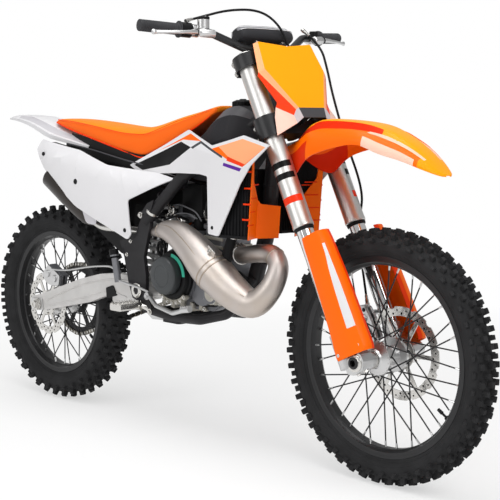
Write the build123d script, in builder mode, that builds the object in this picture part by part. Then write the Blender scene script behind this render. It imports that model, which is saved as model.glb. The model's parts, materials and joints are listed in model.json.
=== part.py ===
from build123d import *
import os
from math import asin, atan2, cos, degrees, pi, radians, sin, sqrt

# A two-stroke motocross bike at its real size, in millimetres.
# +X is forward, +Y is the rider's left and +Z is up. The origin is the low point of the seat, where the
# rider sits. Side outlines are given as (distance ahead of the rear axle, height above the ground).

# Chassis
WHEELBASE = 1493.0
SEAT_X = 500.0
SEAT_HEIGHT = 960.0
PIVOT_X = 572.0
PIVOT_Z = 450.0
CLEARANCE = 0.5
RUNNING_FIT = 0.08

# Steering head
HEAD_ANGLE = 63.9
CLAMP_OFFSET = 22.0
AXLE_LEAD = 35.0
FORK_SPACING = 216.0
STEM_R = 14.0
HEAD_TUBE_R = 27.0
LOWER_CLAMP_T = 699.0
UPPER_CLAMP_T = 903.0
CLAMP_DEPTH = 40.0
LOWER_RING_DEPTH = 62.0
OUTER_TUBE_R = 29.5
OUTER_TUBE_T = 400.0
FORK_TOP_T = 930.0
INNER_TUBE_R = 24.0
LUG_HALF_WIDTH = 22.0

# Wheels
FRONT_TYRE_R = 350.0
FRONT_TYRE_HALF = 43.0
FRONT_SEAT_R = 263.0
FRONT_RIM_HALF = 24.0
REAR_TYRE_R = 343.0
REAR_TYRE_HALF = 57.0
REAR_SEAT_R = 240.0
REAR_RIM_HALF = 31.0
FRONT_KNOBS = 32
REAR_KNOBS = 24
KNOB_HEIGHT = 14.0
KNOB_SHARE = 0.28
CENTRE_KNOB_SHARE = 0.7
SIDE_KNOB_REACH = 5.0
TREAD_SHARE = 0.42
RIM_WALL = 4.0
RIM_WELL = 13.0
FLANGE_HEIGHT = 12.0
SPOKE_R = 2.0
SPOKE_COUNT = 36
FRONT_HUB_HALF = 77.0
REAR_HUB_HALF = 76.0
FRONT_AXLE_R = 13.0
REAR_AXLE_R = 12.5
AXLE_BORE_R = 9.0
FRONT_DISC_R = 130.0
REAR_DISC_R = 110.0
DISC_THICKNESS = 3.0
FRONT_DISC_Y = 64.0
REAR_DISC_Y = 66.0

# Final drive
CHAIN_Y = 70.0
CHAIN_PITCH = 15.875
REAR_TEETH = 50
FRONT_TEETH = 13
PLATE_HALF_HEIGHT = 7.5
PLATE_THICKNESS = 4.0
SPROCKET_THICKNESS = 6.0
FRONT_SPROCKET_X = 642.0
FRONT_SPROCKET_Z = 470.0

# Swingarm
ARM_INNER_Y = 82.0
ARM_THICKNESS = 23.0

# Handlebar
BAR_R = 11.1
BAR_END_R = 14.3
BAR_HALF = 400.0
GRIP_R = 16.5
GRIP_LENGTH = 118.0

PANEL_WALL = 3.5


def ground(x, y, z):
    """A point given ahead of the rear axle, left of the centre plane and above the ground."""
    return Vector(x - SEAT_X, y, z - SEAT_HEIGHT)


def side(y):
    """The side plane at width y: local x forward, local y up, normal to the right."""
    return Plane(origin=ground(0, y, 0), x_dir=(1, 0, 0), z_dir=(0, -1, 0))


def cross(x):
    """The plane across the bike at station x: local x to the left, local y up from the ground."""
    return Plane(origin=ground(x, 0, 0), x_dir=(0, 1, 0), z_dir=(1, 0, 0))


# The steering axis leans back by the head angle. STEM is along it, AHEAD is square to it and forward.
STEM = Vector(-cos(radians(HEAD_ANGLE)), 0, sin(radians(HEAD_ANGLE)))
AHEAD = Vector(sin(radians(HEAD_ANGLE)), 0, cos(radians(HEAD_ANGLE)))
FRONT_AXLE = ground(WHEELBASE, 0, FRONT_TYRE_R)
REAR_AXLE = ground(0, 0, REAR_TYRE_R)
STEER_FOOT = FRONT_AXLE - AHEAD * (CLAMP_OFFSET + AXLE_LEAD)
FORK_HALF = FORK_SPACING / 2
HEAD_TUBE_LOW = LOWER_CLAMP_T + CLAMP_DEPTH / 2 + 3
HEAD_TUBE_HIGH = UPPER_CLAMP_T - CLAMP_DEPTH / 2 - 3


def steer(n, y, t):
    """A point n ahead of the steering axis, y to the left and t up along it from the axle."""
    return STEER_FOOT + AHEAD * n + Vector(0, y, 0) + STEM * t


def crown(t):
    """The plane square to the steering axis at t: local x ahead, local y to the left."""
    return Plane(origin=steer(0, 0, t), x_dir=AHEAD, z_dir=STEM)


def fork_side(y):
    """The plane along the fork at width y: local x ahead, local y up the fork, normal to the right."""
    return Plane(origin=steer(0, y, 0), x_dir=AHEAD, z_dir=(0, -1, 0))


def wheel_section(axle):
    """The plane that holds a wheel's cross-section: local x outward, local y along the axle."""
    return Plane(origin=axle, x_dir=(0, 0, 1), z_dir=(-1, 0, 0))


def wheel_face(axle, y):
    """The plane of a wheel at width y, its normal to the left."""
    return Plane(origin=axle + Vector(0, y, 0), x_dir=(1, 0, 0), z_dir=(0, 1, 0))


def wheel_ray(axle, degrees):
    """The plane of a wheel's section at an angle round it: local x outward, local y along the axle."""
    out = Vector(cos(radians(degrees)), 0, sin(radians(degrees)))
    return Plane(origin=axle, x_dir=out, z_dir=out.cross(Vector(0, 1, 0)))


def tube(points, bend, outer, bore=0.0, mode=Mode.ADD):
    """A round tube of straight runs joined by bends, added to the part being built."""
    with BuildLine() as route:
        if len(points) > 2:
            FilletPolyline(*points, radius=bend)
        else:
            Line(*points)
    with BuildSketch(Plane(origin=route.line @ 0, z_dir=route.line % 0)) as ring:
        Circle(outer)
        if bore:
            Circle(bore, mode=Mode.SUBTRACT)
    sweep(sections=ring.sketch, path=route.line, mode=mode)


def slab(plane, outline, depth, rounding=0.0, mode=Mode.ADD, both=False):
    """A plate of the outline, extruded along its plane's normal."""
    with BuildSketch(plane) as face:
        with BuildLine():
            Polyline(*outline, close=True)
        make_face()
        if rounding:
            fillet(face.vertices(), rounding)
    extrude(face.sketch, amount=depth, both=both, mode=mode)


def rod(start, end, radius, mode=Mode.ADD):
    """A round rod between two points."""
    with BuildSketch(Plane(origin=start, z_dir=end - start)) as ring:
        Circle(radius)
    extrude(ring.sketch, amount=(end - start).length, mode=mode)


def panel(hand, outline, plan, wall, rounding=0.0):
    """A moulded panel: a wall that follows the plan curve, trimmed to the side outline."""
    outer = [(x - SEAT_X, hand * y) for x, y in plan]
    inner = [(x - SEAT_X, hand * (y - wall)) for x, y in plan]
    with BuildSketch(Plane.XY.offset(-SEAT_HEIGHT)) as strip:
        with BuildLine():
            Spline(*outer)
            Spline(*inner)
            Line(outer[0], inner[0])
            Line(outer[-1], inner[-1])
        make_face()
    extrude(strip.sketch, amount=SEAT_HEIGHT * 1.5)
    slab(side(0), outline, -hand * BAR_HALF, rounding, mode=Mode.INTERSECT)


def arch(half, top, edge, crown_half, wall):
    """An open channel section, its crown at the top and its two edges hanging down."""
    with BuildLine() as line:
        Polyline(
            (half, edge), (crown_half, top - wall), (0, top), (-crown_half, top - wall), (-half, edge),
            (-half + wall, edge), (-crown_half + wall, top - 2 * wall), (0, top - wall),
            (crown_half - wall, top - 2 * wall), (half - wall, edge), close=True,
        )
    return line




def keep(builder, label):
    """Label a finished piece and write it as its own STEP file."""
    builder.part.label = label
    export_step(builder.part, f"parts/{label}.step")


os.makedirs("parts", exist_ok=True)


# ---------------------------------------------------------------------------------------------- wheels

WHEELS = (
    # name, axle, tyre radius, half width and knobs, bead seat radius, rim half width, hub half, axle radius
    ("front", FRONT_AXLE, FRONT_TYRE_R, FRONT_TYRE_HALF, FRONT_KNOBS, FRONT_SEAT_R, FRONT_RIM_HALF,
     FRONT_HUB_HALF, FRONT_AXLE_R),
    ("rear", REAR_AXLE, REAR_TYRE_R, REAR_TYRE_HALF, REAR_KNOBS, REAR_SEAT_R, REAR_RIM_HALF,
     REAR_HUB_HALF, REAR_AXLE_R),
)
HUB_FLANGE_Y = 36.0
HUB_FLANGE_R = 46.0
HUB_FLANGE_WALL = 9.0
HUB_BARREL_R = 27.0
SPOKE_SPREAD = 3.0
SPOKE_SWEEP = 52.0

for name, axle, tyre_r, tyre_half, knobs, seat_r, rim_half, hub_half, axle_r in WHEELS:
    axle_line = Axis(axle, (0, 1, 0))
    bead = rim_half - RIM_WALL
    bulge_r = seat_r + 0.52 * (tyre_r - seat_r)
    carcass_r = tyre_r - KNOB_HEIGHT
    flank = tyre_half - SIDE_KNOB_REACH
    tread_half = TREAD_SHARE * tyre_half
    pitch = 360 / knobs
    knob_length = KNOB_SHARE * 2 * pi * tyre_r / knobs
    beads = seat_r + FLANGE_HEIGHT + 1

    # The carcass is flat-sided, one side to a knob, so that its mesh stays small.
    with BuildPart() as hollow:
        with BuildSketch(wheel_face(axle, bead)):
            RegularPolygon(bulge_r, knobs, major_radius=False)
        extrude(amount=tyre_half)
        mouth = hollow.faces().sort_by(Axis.Y)[0]
        chamfer(mouth.edges(), bulge_r - beads, flank - bead, reference=mouth)

    with BuildPart() as tyre:
        with BuildSketch(wheel_face(axle, -flank)):
            RegularPolygon(carcass_r, knobs, major_radius=False)
        extrude(amount=2 * flank)
        for end in (0, -1):
            wall = tyre.faces().sort_by(Axis.Y)[end]
            chamfer(wall.edges(), carcass_r - bulge_r, flank - tread_half, reference=wall)
        add(hollow.part, mode=Mode.SUBTRACT)
        add(mirror(hollow.part, about=Plane.XZ, mode=Mode.PRIVATE), mode=Mode.SUBTRACT)
        with BuildSketch(wheel_face(axle, -bead)):
            Circle(seat_r)
        extrude(amount=2 * bead, mode=Mode.SUBTRACT)
        with BuildSketch(*[wheel_ray(axle, 90 + pitch * i) for i in range(knobs)]):
            with Locations((carcass_r, 0)):
                Rectangle(2 * KNOB_HEIGHT, CENTRE_KNOB_SHARE * 2 * tread_half)
        extrude(amount=knob_length / 2, both=True)
        with BuildSketch(*[wheel_ray(axle, 90 + pitch * (i + 0.5)) for i in range(knobs)]):
            for hand in (-1, 1):
                with BuildLine():
                    Polyline(
                        (tyre_r - 2, hand * (tread_half + 1.5)), (tyre_r - 21, hand * tyre_half),
                        (bulge_r - 2, hand * (flank - 6)), (carcass_r - 10, hand * tread_half), close=True,
                    )
                make_face()
        extrude(amount=knob_length / 2, both=True)
    keep(tyre, f"tyre_{name}")

    with BuildPart() as rim:
        with BuildSketch(wheel_section(axle)):
            with BuildLine():
                Polyline(
                    (seat_r + FLANGE_HEIGHT, bead), (seat_r, bead), (seat_r - RIM_WELL + RIM_WALL, 9),
                    (seat_r - RIM_WELL + RIM_WALL, -9), (seat_r, -bead), (seat_r + FLANGE_HEIGHT, -bead),
                    (seat_r + FLANGE_HEIGHT, -rim_half), (seat_r - RIM_WALL, -rim_half),
                    (seat_r - RIM_WELL, -11), (seat_r - RIM_WELL, 11), (seat_r - RIM_WALL, rim_half),
                    (seat_r + FLANGE_HEIGHT, rim_half), close=True,
                )
            make_face()
        revolve(axis=axle_line)
    keep(rim, f"rim_{name}")

    with BuildPart() as hub:
        with BuildSketch(wheel_section(axle)):
            with BuildLine():
                Polyline(
                    (axle_r + RUNNING_FIT, -hub_half), (20, -hub_half), (22, -56), (HUB_BARREL_R, -50),
                    (HUB_FLANGE_R, -HUB_FLANGE_Y - HUB_FLANGE_WALL / 2),
                    (HUB_FLANGE_R, -HUB_FLANGE_Y + HUB_FLANGE_WALL / 2),
                    (HUB_BARREL_R, -HUB_FLANGE_Y + HUB_FLANGE_WALL),
                    (HUB_BARREL_R, HUB_FLANGE_Y - HUB_FLANGE_WALL),
                    (HUB_FLANGE_R, HUB_FLANGE_Y - HUB_FLANGE_WALL / 2),
                    (HUB_FLANGE_R, HUB_FLANGE_Y + HUB_FLANGE_WALL / 2),
                    (HUB_BARREL_R, 50), (22, 56), (20, hub_half), (axle_r + RUNNING_FIT, hub_half),
                    close=True,
                )
            make_face()
        revolve(axis=axle_line)
    keep(hub, f"hub_{name}")

    with BuildPart() as spokes:
        for i in range(SPOKE_COUNT):
            flank = 1 if i % 2 else -1
            lead = 1 if i % 4 < 2 else -1
            rim_angle = radians(360 / SPOKE_COUNT * i)
            hub_angle = rim_angle + lead * radians(SPOKE_SWEEP)
            hub_r = HUB_FLANGE_R + 2.5
            rim_r = seat_r - RIM_WELL - 1.5
            spread = lead * SPOKE_SPREAD
            foot = axle + Vector(hub_r * cos(hub_angle), flank * HUB_FLANGE_Y + spread, hub_r * sin(hub_angle))
            tip = axle + Vector(rim_r * cos(rim_angle), flank * 6 + spread, rim_r * sin(rim_angle))
            rod(foot, tip, SPOKE_R)
    keep(spokes, f"spokes_{name}")

    disc_r = FRONT_DISC_R if name == "front" else REAR_DISC_R
    disc_y = FRONT_DISC_Y if name == "front" else -REAR_DISC_Y
    with BuildPart() as disc:
        with BuildSketch(wheel_face(axle, disc_y)):
            Circle(disc_r)
            Circle(disc_r - 26, mode=Mode.SUBTRACT)
            with PolarLocations(disc_r / 2 + 9, 6):
                Rectangle(disc_r - 46, 12)
            Circle(44)
            Circle(HUB_BARREL_R + CLEARANCE, mode=Mode.SUBTRACT)
            with PolarLocations(disc_r + 6, 12, 15):
                Circle(12, mode=Mode.SUBTRACT)
        extrude(amount=DISC_THICKNESS / 2, both=True)
    keep(disc, f"brake_disc_{name}")

rear_pitch_r = CHAIN_PITCH / (2 * sin(radians(180 / REAR_TEETH)))
front_pitch_r = CHAIN_PITCH / (2 * sin(radians(180 / FRONT_TEETH)))
TOOTH_TIP = 3.0

with BuildPart() as sprocket:
    with BuildSketch(wheel_face(REAR_AXLE, CHAIN_Y)):
        Circle(rear_pitch_r + TOOTH_TIP)
        with PolarLocations(rear_pitch_r + 4.5, REAR_TEETH):
            Circle(4.4, mode=Mode.SUBTRACT)
        Circle(rear_pitch_r - 24, mode=Mode.SUBTRACT)
        with PolarLocations(68, 6):
            Rectangle(72, 16)
        Circle(50)
        Circle(HUB_BARREL_R + CLEARANCE, mode=Mode.SUBTRACT)
    extrude(amount=SPROCKET_THICKNESS / 2, both=True)
keep(sprocket, "rear_sprocket")


# --------------------------------------------------------------------------------------- chain, swingarm

def belt_points(rear_r, front_r):
    """The four points where a loop round the two sprockets leaves them, and its two middle points."""
    dx = FRONT_SPROCKET_X
    dz = FRONT_SPROCKET_Z - REAR_TYRE_R
    span = sqrt(dx * dx + dz * dz)
    slope = atan2(dz, dx)
    wrap = asin((rear_r - front_r) / span)
    up = slope + radians(90) - wrap
    down = slope - radians(90) + wrap
    rear = (0, REAR_TYRE_R)
    front = (FRONT_SPROCKET_X, FRONT_SPROCKET_Z)
    around = lambda c, r, a: (c[0] + r * cos(a), c[1] + r * sin(a))
    return (
        around(rear, rear_r, up), around(front, front_r, up), around(front, front_r, slope),
        around(front, front_r, down), around(rear, rear_r, down), around(rear, rear_r, slope + radians(180)),
    )


def belt_face(offset):
    """The area inside a loop that runs at an offset outside the pitch line."""
    top_r, top_f, nose, low_f, low_r, tail = belt_points(rear_pitch_r + offset, front_pitch_r + offset)
    with BuildSketch(side(CHAIN_Y)) as area:
        with BuildLine():
            Line(top_r, top_f)
            ThreePointArc(top_f, nose, low_f)
            Line(low_f, low_r)
            ThreePointArc(low_r, tail, top_r)
        make_face()
    return area.sketch


CHAIN_HALF = SPROCKET_THICKNESS / 2 + 0.8 + PLATE_THICKNESS
with BuildPart() as chain:
    extrude(belt_face(PLATE_HALF_HEIGHT), amount=CHAIN_HALF, both=True)
    extrude(belt_face(TOOTH_TIP + 1), amount=CHAIN_HALF - PLATE_THICKNESS, both=True, mode=Mode.SUBTRACT)
    extrude(belt_face(-PLATE_HALF_HEIGHT), amount=CHAIN_HALF, both=True, mode=Mode.SUBTRACT)
keep(chain, "drive_chain")

ARM_OUTLINE = (
    (-42, REAR_TYRE_R - 27), (-42, REAR_TYRE_R + 24), (22, REAR_TYRE_R + 39), (247, 455), (359, 482), (454, 493),
    (560, PIVOT_Z + 38), (PIVOT_X + 34, PIVOT_Z + 10), (PIVOT_X + 28, PIVOT_Z - 30), (560, PIVOT_Z - 42),
    (509, 396), (400, 416), (301, 382), (38, REAR_TYRE_R - 18),
)
with BuildPart() as swingarm:
    for hand in (-1, 1):
        slab(side(hand * ARM_INNER_Y), ARM_OUTLINE, -hand * ARM_THICKNESS, 6)
    with BuildSketch(side(-ARM_INNER_Y)):
        with Locations((424, 430)):
            RectangleRounded(60, 84, 14)
    extrude(amount=-2 * ARM_INNER_Y)
    rod(ground(PIVOT_X, -ARM_INNER_Y, PIVOT_Z), ground(PIVOT_X, ARM_INNER_Y, PIVOT_Z), 25)
    with BuildSketch(side(-200)):
        with Locations((0, REAR_TYRE_R), (PIVOT_X, PIVOT_Z)):
            Circle(REAR_AXLE_R + CLEARANCE)
    extrude(amount=-400, mode=Mode.SUBTRACT)
keep(swingarm, "swingarm")

with BuildPart() as rear_axle:
    rod(ground(0, -128, REAR_TYRE_R), ground(0, 128, REAR_TYRE_R), REAR_AXLE_R)
    for hand in (-1, 1):
        with BuildSketch(wheel_face(REAR_AXLE, hand * (ARM_INNER_Y + ARM_THICKNESS + CLEARANCE))):
            RegularPolygon(20, 6)
        extrude(amount=hand * 14)
    rod(ground(0, -128, REAR_TYRE_R), ground(0, 128, REAR_TYRE_R), AXLE_BORE_R - 2, mode=Mode.SUBTRACT)
keep(rear_axle, "rear_axle")

GUIDE_WALL = 4.0
GUIDE_GAP = CHAIN_HALF + 1.0
GUIDE_OUTER_WALL = 11.0
GUIDE_DROP = 14.0
GUIDE_FLOOR = 16.0
GUIDE_RISE = 38.0
GUIDE_REAR_X = 148.0
GUIDE_FRONT_X = 228.0


def lower_run(x, offset):
    """The height at x of a line that runs at an offset outside the chain's lower run."""
    top_r, top_f, nose, low_f, low_r, tail = belt_points(rear_pitch_r + offset, front_pitch_r + offset)
    return low_r[1] + (x - low_r[0]) * (low_f[1] - low_r[1]) / (low_f[0] - low_r[0])


def arm_under(x):
    """The height at x of the swingarm's lower edge behind its middle."""
    (x0, z0), (x1, z1) = ARM_OUTLINE[-1], ARM_OUTLINE[-2]
    return z0 + (z1 - z0) * (x - x0) / (x1 - x0)


with BuildPart() as chain_guide:
    base = PLATE_HALF_HEIGHT + GUIDE_DROP
    ends = (GUIDE_REAR_X, GUIDE_FRONT_X)
    foot = [(x, lower_run(x, base + GUIDE_FLOOR)) for x in ends]
    floor = [(x, lower_run(x, base)) for x in reversed(ends)]
    inner = [(x, lower_run(x, PLATE_HALF_HEIGHT) + GUIDE_RISE) for x in reversed(ends)]
    outer = [(x, arm_under(x) - CLEARANCE) for x in reversed(ends)]
    slab(side(CHAIN_Y + GUIDE_GAP), foot + outer, -GUIDE_OUTER_WALL)
    slab(side(CHAIN_Y - GUIDE_GAP), foot + inner, GUIDE_WALL)
    slab(side(CHAIN_Y + GUIDE_GAP), foot + floor, 2 * GUIDE_GAP)
keep(chain_guide, "chain_guide")


# ------------------------------------------------------------------------------------------------ frame

RAIL_R = 16.0
BACKBONE_R = 19.0
DOWN_TUBE_R = 24.0
PLATE_Y = 107.0
PLATE_WALL = 13.0
RAIL_Y = 92.0
RAIL_INNER_Y = 66.0
SUBFRAME_WALL = 15.0

PIVOT_PLATE = (
    (484, 604), (560, 618), (600, 690), (640, 668), (606, 560), (616, 500), (614, 455), (642, 402),
    (634, 382), (600, 384), (574, 416), (548, 424), (528, 470), (508, 550),
)
SHOCK_MOUNT_X = 590.0
SHOCK_MOUNT_Z = 690.0

# The flat pad under the cradle that a lift stand bears on.
LIFT_PAD_X = 712.0
LIFT_PAD_Z = 360.0
LIFT_PAD_LENGTH = 84.0
LIFT_PAD_WIDTH = 206.0
LIFT_PAD_DEPTH = 12.0

with BuildPart() as main_frame:
    tube((ground(1080, 0, 986), ground(1030, 0, 640), ground(978, 0, 492)), 60, DOWN_TUBE_R)
    for hand in (-1, 1):
        tube(
            (ground(992, hand * 14, 520), ground(930, hand * 62, 408), ground(840, hand * RAIL_Y, 384),
             ground(720, hand * RAIL_Y, 378), ground(624, hand * (RAIL_Y + 12), 392)), 40, RAIL_R)
        tube(
            (ground(1062, hand * 20, 1006), ground(940, hand * 62, 925), ground(770, hand * 104, 812),
             ground(612, hand * (PLATE_Y + 6), 672)), 90, BACKBONE_R)
        slab(side(hand * PLATE_Y), PIVOT_PLATE, -hand * PLATE_WALL, 5)
        rod(ground(738, hand * (RAIL_INNER_Y + SUBFRAME_WALL + 0.2), 792), ground(738, hand * 104, 792), 8)
        rod(ground(520, hand * (RAIL_INNER_Y + SUBFRAME_WALL - 2.8), 602), ground(520, hand * 109, 602), 8)
    rod(ground(SHOCK_MOUNT_X, -PLATE_Y - 6, SHOCK_MOUNT_Z), ground(SHOCK_MOUNT_X, PLATE_Y + 6, SHOCK_MOUNT_Z), 13)
    rod(ground(720, -RAIL_Y, 378), ground(720, RAIL_Y, 378), 12)
    with BuildSketch(Plane.XY.offset(LIFT_PAD_Z - SEAT_HEIGHT)):
        with Locations((LIFT_PAD_X - SEAT_X, 0)):
            RectangleRounded(LIFT_PAD_LENGTH, LIFT_PAD_WIDTH, 12)
    extrude(amount=LIFT_PAD_DEPTH)
    rod(ground(632, -RAIL_Y, 388), ground(632, RAIL_Y, 388), 12)
    rod(ground(PIVOT_X, -PLATE_Y - PLATE_WALL - 6, PIVOT_Z), ground(PIVOT_X, -ARM_INNER_Y - ARM_THICKNESS - 1, PIVOT_Z), 22)
    rod(ground(PIVOT_X, ARM_INNER_Y + ARM_THICKNESS + 1, PIVOT_Z), ground(PIVOT_X, PLATE_Y + PLATE_WALL + 6, PIVOT_Z), 22)
    rod(steer(0, 0, HEAD_TUBE_LOW), steer(0, 0, HEAD_TUBE_HIGH), HEAD_TUBE_R)
    rod(steer(0, 0, HEAD_TUBE_LOW - 5), steer(0, 0, HEAD_TUBE_HIGH + 5), STEM_R + RUNNING_FIT, mode=Mode.SUBTRACT)
keep(main_frame, "main_frame")

with BuildPart() as subframe:
    for hand in (-1, 1):
        slab(side(hand * RAIL_INNER_Y), ((756, 778), (700, 775), (441, 826), (67, 884), (60, 912), (441, 846),
                                         (700, 812), (756, 802)), -hand * SUBFRAME_WALL, 4)
        slab(side(hand * (RAIL_INNER_Y - 2)), ((552, 602), (488, 592), (300, 712), (150, 868), (180, 872),
                                               (318, 736), (500, 630), (552, 622)), -hand * (SUBFRAME_WALL - 1), 4)
    for x, z in ((90, 890), (430, 842)):
        with BuildSketch(side(-RAIL_INNER_Y - 2)):
            with Locations((x, z)):
                RectangleRounded(34, 14, 4)
        extrude(amount=-2 * RAIL_INNER_Y - 4)
    slab(side(30), ((76, 890), (76, 950), (104, 944), (104, 890)), 60)
keep(subframe, "subframe")


# ----------------------------------------------------------------------------------------------- engine

CRANK_X = 850.0
CRANK_Z = 482.0
CLUTCH_X = 746.0
CLUTCH_Z = 513.0
CLUTCH_COVER_R = 68.0
CASE_HALF = 74.0
CYLINDER_X = 862.0
CYLINDER_LEAN = 4.0
PORT_Z = 585.0

with BuildPart() as engine:
    slab(side(CASE_HALF),
         ((944, 484), (922, 556), (800, 562), (756, 582), (704, 576), (648, 545), (630, 480), (650, 436),
          (720, 410), (880, 412), (908, 428)), 2 * CASE_HALF, 12)
    slab(side(CHAIN_Y + CASE_HALF), ((590, 400), (590, 560), (700, 560), (700, 400)),
         CASE_HALF + CHAIN_HALF + 3, mode=Mode.SUBTRACT)
    lean = Vector(sin(radians(CYLINDER_LEAN)), 0, cos(radians(CYLINDER_LEAN)))
    foot = ground(CYLINDER_X, 0, 545)
    for start, length, half_x, half_y in ((0, 30, 66, 70), (20, 92, 52, 60), (112, 12, 60, 64), (124, 34, 54, 58)):
        with BuildSketch(Plane(origin=foot + lean * start, x_dir=(1, 0, 0), z_dir=lean)):
            RectangleRounded(2 * half_x, 2 * half_y, 26)
        extrude(amount=length)
    rod(foot + lean * 158, foot + lean * 172, 12)
    rod(ground(CYLINDER_X, 0, PORT_Z), ground(910, 0, PORT_Z), 28)
    rod(ground(CYLINDER_X, 0, PORT_Z + 16), ground(792, 0, PORT_Z + 24), 27)
    rod(ground(CLUTCH_X, -CASE_HALF, CLUTCH_Z), ground(CLUTCH_X, -CASE_HALF - 30, CLUTCH_Z), 82)
    rod(ground(CRANK_X, -CASE_HALF, CRANK_Z), ground(CRANK_X, -CASE_HALF - 22, CRANK_Z), 54)
    rod(ground(CRANK_X, CASE_HALF, CRANK_Z), ground(CRANK_X, CASE_HALF + 12, CRANK_Z), 66)
    rod(ground(900, -CASE_HALF, 470), ground(900, -CASE_HALF - 34, 470), 30)
keep(engine, "engine")

with BuildPart() as clutch_cover:
    with BuildSketch(side(-CASE_HALF - 30.2)):
        with Locations((CLUTCH_X, CLUTCH_Z)):
            Circle(78)
    extrude(amount=26)
    with BuildSketch(side(-CASE_HALF - 56)):
        with Locations((CLUTCH_X, CLUTCH_Z)):
            Circle(CLUTCH_COVER_R)
    extrude(amount=30)
    fillet(clutch_cover.faces().sort_by(Axis.Y)[0].edges(), 9)
keep(clutch_cover, "clutch_cover")

with BuildPart() as ignition_cover:
    with BuildSketch(side(CASE_HALF + 12.2)):
        with Locations((CRANK_X, CRANK_Z)):
            Circle(62)
    extrude(amount=-24)
    fillet(ignition_cover.faces().sort_by(Axis.Y)[-1].edges(), 10)
keep(ignition_cover, "ignition_cover")

with BuildPart() as sprocket_cover:
    slab(side(CHAIN_Y + CHAIN_HALF + 1.5), ((704, 516), (640, 516), (622, 486), (622, 440), (650, 426),
                                            (704, 424)), -14, 8)
    rod(ground(690, CASE_HALF - 12, 500), ground(690, CHAIN_Y + CHAIN_HALF + 4, 500), 7)
keep(sprocket_cover, "sprocket_cover")

with BuildPart() as carburettor:
    rod(ground(776, 0, PORT_Z + 27), ground(700, 0, PORT_Z + 48), 26)
    rod(ground(720, 0, PORT_Z + 43), ground(690, 0, PORT_Z + 51), 36)
    rod(ground(742, -36, PORT_Z + 38), ground(742, 36, PORT_Z + 38), 22)
    rod(ground(744, 0, PORT_Z + 12), ground(744, 0, PORT_Z + 92), 21)
    tube((ground(694, 0, PORT_Z + 50), ground(640, 30, 664), ground(640, 30, 716)), 26, 26)
keep(carburettor, "carburettor")

with BuildPart() as airbox:
    slab(side(58), ((660, 717), (650, 760), (600, 790), (440, 818), (250, 842), (300, 770), (400, 690),
                    (400, 630), (480, 630), (490, 717)), 116, 8)
keep(airbox, "airbox")

PIPE_STATIONS = (
    # x, y, z, radius of the pipe's centre line from the port to the silencer
    (936, -10, 585, 20), (965, -35, 588, 22), (1004, -56, 592, 24), (1065, -62, 602, 26), (1126, -66, 602, 27),
    (1164, -80, 566, 29), (1150, -106, 502, 34), (1098, -122, 462, 40), (1020, -130, 494, 51), (935, -135, 551, 58),
    (862, -134, 603, 50), (785, -126, 640, 42), (716, -116, 650, 31), (660, -101, 642, 18), (606, -92.5, 638, 12.5),
)


def along(stations):
    """A smooth tapered tube through the stations, as a loft of round sections square to its path."""
    with BuildLine() as route:
        Spline(*[ground(x, y, z) for x, y, z, radius in stations])
    path = route.edge()
    sections = []
    for x, y, z, radius in stations:
        spot = path.param_at_point(ground(x, y, z))
        with BuildSketch(Plane(origin=path @ spot, z_dir=path % spot)) as ring:
            Circle(radius)
        sections.append(ring.sketch)
    loft(sections=sections)


with BuildPart() as exhaust_pipe:
    along(PIPE_STATIONS)
keep(exhaust_pipe, "exhaust_pipe")

LINK_R = 12.5
CAN_REAR = ground(118, -114, 796)
CAN_FRONT = ground(322, -114, 674)
CAN_DIRECTION = (CAN_FRONT - CAN_REAR).normalized()
with BuildPart() as silencer:
    for place, half_width, half_height, corner in (
        (CAN_REAR, 34, 45, 33), (CAN_REAR + CAN_DIRECTION * 120, 34, 42, 33), (CAN_FRONT, 33, 32, 30),
    ):
        with BuildSketch(Plane(origin=place, x_dir=(0, 1, 0), z_dir=CAN_DIRECTION)):
            RectangleRounded(2 * half_width, 2 * half_height, corner - 4)
    loft()
    with BuildSketch(Plane(origin=CAN_REAR - CAN_DIRECTION * 8, x_dir=(0, 1, 0), z_dir=CAN_DIRECTION)):
        Circle(22)
        Circle(17, mode=Mode.SUBTRACT)
    extrude(amount=9)
    with BuildSketch(Plane(origin=CAN_FRONT, x_dir=(0, 1, 0), z_dir=CAN_DIRECTION)):
        Circle(30)
    with BuildSketch(Plane(origin=CAN_FRONT + CAN_DIRECTION * 40, x_dir=(0, 1, 0), z_dir=CAN_DIRECTION)):
        Circle(LINK_R)
    loft()
    tube((CAN_FRONT + CAN_DIRECTION * 38, ground(380, -108, 642), ground(470, -94, 640), ground(605, -92.5, 638)),
         30, LINK_R)
keep(silencer, "silencer")


# --------------------------------------------------------------------------------------------- cooling

RADIATOR_FOOT_Z = 650.0
RADIATOR_HEIGHT = 222.0
RADIATOR_LEAN = Vector(0.03, 0, 1).normalized()
RADIATOR_PLAN = (
    (985, 150), (1098, 142), (1085, 127), (1038, 96), (1036, 58), (1008, 45), (962, 122),
)
GUARD_PLAN = ((1106, 146), (1080, 92), (1116, 34))
GUARD_LEAN = Vector(0.09, 0, 1).normalized()
GUARD_WALL = 3.0


def plan_prism(hand, points, z, direction, height):
    """An upright prism on a plan outline, leaning along its direction."""
    with BuildSketch(Plane.XY.offset(z - SEAT_HEIGHT)) as plan:
        with BuildLine():
            Polyline(*[(x - SEAT_X, hand * y) for x, y in points], close=True)
        make_face()
    extrude(plan.sketch, amount=height / direction.Z, dir=direction)


with BuildPart() as radiators:
    for hand in (-1, 1):
        plan_prism(hand, RADIATOR_PLAN, RADIATOR_FOOT_Z, RADIATOR_LEAN, RADIATOR_HEIGHT)
keep(radiators, "radiators")

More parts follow.
